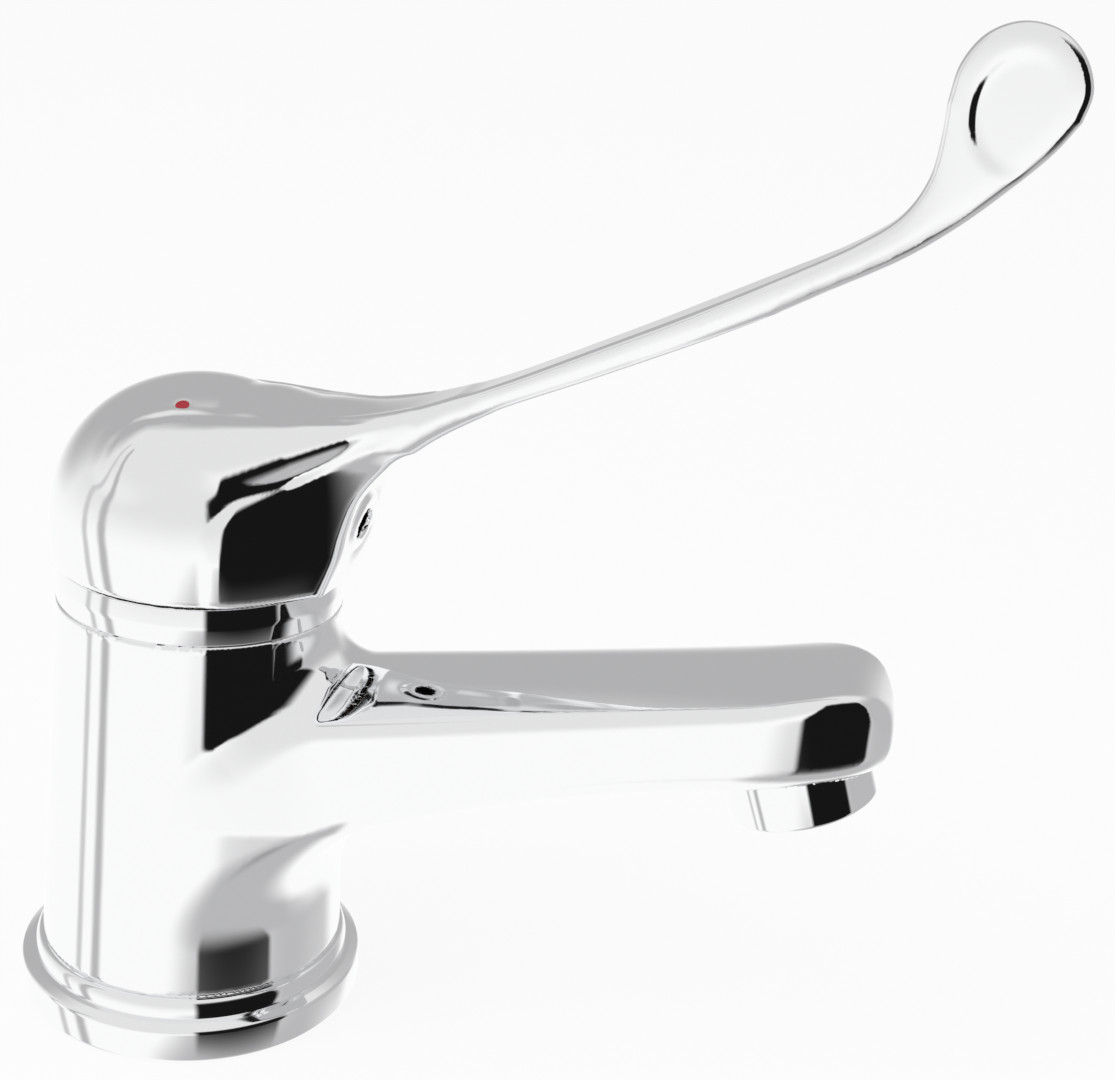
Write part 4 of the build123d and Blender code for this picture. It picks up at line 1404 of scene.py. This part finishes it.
class Studio:
    """A white room, dark on the right of the camera, that gives the chrome its edges."""

    def __init__(self, shot: Shot, look: StudioLook) -> None:
        """Keeps the camera's place and the room's look."""
        self.shot = shot
        self.look = look

    def camera(self) -> None:
        """Places the camera where the photograph was taken from."""
        shot = self.shot
        data = bpy.data.cameras.new("camera")
        data.sensor_width = shot.sensor
        data.lens = shot.focal_pixels / shot.width_pixels * shot.sensor
        data.clip_start = self.look.clip_start
        camera = bpy.data.objects.new("camera", data)
        right, up = Vector(shot.right).normalized(), Vector(shot.up).normalized()
        back = right.cross(up).normalized()
        turn = Matrix((right, back.cross(right), back)).transposed()
        camera.matrix_world = Matrix.Translation(Vector(shot.place)) @ turn.to_4x4()
        bpy.context.scene.collection.objects.link(camera)
        bpy.context.scene.camera = camera

    def floor(self) -> None:
        """A wide pale floor that stays near white to the camera and keeps a soft shadow."""
        look = self.look
        form = bmesh.new()
        bmesh.ops.create_grid(form, x_segments=1, y_segments=1, size=look.floor_half)
        mesh = bpy.data.meshes.new("floor")
        form.to_mesh(mesh)
        form.free()
        floor = bpy.data.objects.new("floor", mesh)
        bpy.context.scene.collection.objects.link(floor)
        floor.visible_glossy = False
        material = bpy.data.materials.new("floor")
        material.use_nodes = True
        nodes, links = material.node_tree.nodes, material.node_tree.links
        shader = nodes["Principled BSDF"]
        shader.inputs["Base Color"].default_value = (*[look.floor_grey] * 3, 1.0)
        shader.inputs["Roughness"].default_value = look.floor_roughness
        glow = nodes.new("ShaderNodeEmission")
        glow.inputs["Strength"].default_value = 1.0
        mix = nodes.new("ShaderNodeMixShader")
        path = nodes.new("ShaderNodeLightPath")
        share = nodes.new("ShaderNodeMath")
        share.operation = "MULTIPLY"
        share.inputs[1].default_value = look.floor_glow
        links.new(path.outputs["Is Camera Ray"], share.inputs[0])
        links.new(share.outputs["Value"], mix.inputs["Fac"])
        links.new(shader.outputs["BSDF"], mix.inputs[1])
        links.new(glow.outputs["Emission"], mix.inputs[2])
        links.new(mix.outputs["Shader"], nodes["Material Output"].inputs["Surface"])
        mesh.materials.append(material)

    def world(self) -> None:
        """White to the camera, the room to everything else."""
        world = bpy.data.worlds.new("studio")
        bpy.context.scene.world = world
        world.use_nodes = True
        nodes, links = world.node_tree.nodes, world.node_tree.links
        place = nodes.new("ShaderNodeTexCoord")
        height = nodes.new("ShaderNodeSeparateXYZ")
        links.new(place.outputs["Generated"], height.inputs["Vector"])
        wall = nodes.new("ShaderNodeMapRange")
        wall.interpolation_type = "SMOOTHSTEP"
        for name, value in WALL.items():
            wall.inputs[name].default_value = value
        links.new(height.outputs["Z"], wall.inputs["Value"])
        colour = wall.outputs["Result"]
        for patch in ROOM:
            mix = nodes.new("ShaderNodeMix")
            mix.data_type = "RGBA"
            mix.label = patch.name
            mix.inputs["B"].default_value = (patch.grey, patch.grey, patch.grey * COOL, 1.0)
            links.new(self._mask(nodes, links, place.outputs["Generated"], patch),
                      mix.inputs["Factor"])
            links.new(colour, mix.inputs["A"])
            colour = mix.outputs["Result"]
        links.new(colour, nodes["Background"].inputs["Color"])
        white = nodes.new("ShaderNodeBackground")
        white.inputs["Color"].default_value = (*[self.look.backdrop_grey] * 3, 1.0)
        path = nodes.new("ShaderNodeLightPath")
        mix = nodes.new("ShaderNodeMixShader")
        links.new(path.outputs["Is Camera Ray"], mix.inputs["Fac"])
        links.new(nodes["Background"].outputs["Background"], mix.inputs[1])
        links.new(white.outputs["Background"], mix.inputs[2])
        links.new(mix.outputs["Shader"], nodes["World Output"].inputs["Surface"])

    @staticmethod
    def _mask(nodes: bpy.types.Nodes, links: bpy.types.NodeLinks,
              direction: bpy.types.NodeSocket, patch: Patch) -> bpy.types.NodeSocket:
        """Builds the nodes that are 1 inside a patch of the room and 0 outside it.

        Args:
            nodes: The world's nodes.
            links: Its links.
            direction: The socket that gives the direction.
            patch: The patch.

        Returns:
            The socket that gives the share.
        """

        def maths(operation: str, *terms: float | bpy.types.NodeSocket) -> bpy.types.NodeSocket:
            """Adds one sum.

            Args:
                operation: What to work out.
                *terms: Numbers and sockets that go in.

            Returns:
                The result's socket.
            """
            node = nodes.new("ShaderNodeMath")
            node.operation = operation
            for socket, term in zip(node.inputs, terms):
                if isinstance(term, float):
                    socket.default_value = term
                else:
                    links.new(term, socket)
            return node.outputs["Value"]

        def along(axis: Vector) -> bpy.types.NodeSocket:
            """Adds the share of the direction along an axis.

            Args:
                axis: The axis.

            Returns:
                The result's socket.
            """
            node = nodes.new("ShaderNodeVectorMath")
            node.operation = "DOT_PRODUCT"
            links.new(direction, node.inputs[0])
            node.inputs[1].default_value = axis
            return node.outputs["Value"]

        azimuth, elevation = math.radians(patch.azimuth), math.radians(patch.elevation)
        centre = Vector((math.cos(azimuth) * math.cos(elevation),
                         math.sin(azimuth) * math.cos(elevation), math.sin(elevation)))
        side = Vector((-math.sin(azimuth), math.cos(azimuth), 0.0))
        depth = along(centre)
        mask = maths("GREATER_THAN", depth, AHEAD)
        for axis, size, soft in ((side, patch.width, patch.soft[0]),
                                 (centre.cross(side), patch.height, patch.soft[1])):
            edge = nodes.new("ShaderNodeMapRange")
            edge.interpolation_type = "SMOOTHSTEP"
            edge.inputs["From Min"].default_value = math.tan(math.radians(size / 2 - soft / 2))
            edge.inputs["From Max"].default_value = math.tan(math.radians(size / 2 + soft / 2))
            edge.inputs["To Min"].default_value = 1.0
            edge.inputs["To Max"].default_value = 0.0
            links.new(maths("ABSOLUTE", maths("DIVIDE", along(axis), depth)),
                      edge.inputs["Value"])
            mask = maths("MULTIPLY", mask, edge.outputs["Result"])
        return mask

    def hang(self, lamp: Lamp) -> None:
        """Hangs a lamp that faces the tap.

        Args:
            lamp: The lamp.
        """
        data = bpy.data.lights.new(lamp.name, "AREA")
        data.size = lamp.size
        data.energy = lamp.power
        light = bpy.data.objects.new(lamp.name, data)
        place = Vector(lamp.place)
        turn = (place - Vector(self.look.middle)).to_track_quat("Z", "Y").to_matrix().to_4x4()
        light.matrix_world = Matrix.Translation(place) @ turn
        light.visible_glossy = False
        bpy.context.scene.collection.objects.link(light)

    def build(self) -> None:
        """Sets the camera, the floor, the room and the lamps."""
        bpy.context.scene.view_settings.view_transform = "Standard"
        self.camera()
        self.floor()
        self.world()
        for lamp in LAMPS:
            self.hang(lamp)


def dress_nodes(frame: dict, finishes: Finishes) -> None:
    """Gives every CAD node its finish by its material slot.

    Args:
        frame: The loaded frame.
        finishes: Where finishes come from.
    """
    metals = {"chrome_plate": CHROME, "brass": BRASS, "steel": STEEL}
    mouldings = {finish.name: finish for finish in (
        RUBBER, CERAMIC, PLASTIC_WHITE, PLASTIC_GREY, PLASTIC_RED, PLASTIC_BLUE)}
    for entry in frame["record"]["subparts"]:
        node, slot = entry["node"], entry["material_slot"]
        if slot in metals:
            material = finishes.metal(metals[slot])
        else:
            material = finishes.moulding(mouldings[slot])
        for holder in frame["nodes"][node].material_slots:
            holder.material = material


def dress_piece(piece: bpy.types.Object, material: bpy.types.Material) -> None:
    """Gives a new piece its finish.

    Args:
        piece: The piece.
        material: Its finish.
    """
    piece.data.materials.clear()
    piece.data.materials.append(material)


def main() -> None:
    """Builds the scene."""
    logging.basicConfig(level=logging.INFO)
    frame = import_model()
    finishes = Finishes()
    dress_nodes(frame, finishes)
    mouth = MouthSizes()
    turned = TurnedPieces(BaseRingSizes(), TrimRingSizes(), mouth)
    pieces = [BodyPiece(BodySizes(), mouth).build(),
              HandlePiece(CapSizes(), LeverSizes(), CapForm()).build(),
              turned.base_ring(), turned.trim_ring(), turned.aerator_ring()]
    for piece in pieces:
        dress_piece(piece, finishes.metal(CHROME))
        LOG.info("%s has %d faces", piece.name, len(piece.data.polygons))
    Studio(Shot(), StudioLook()).build()


if __name__ == "__main__":
    main()
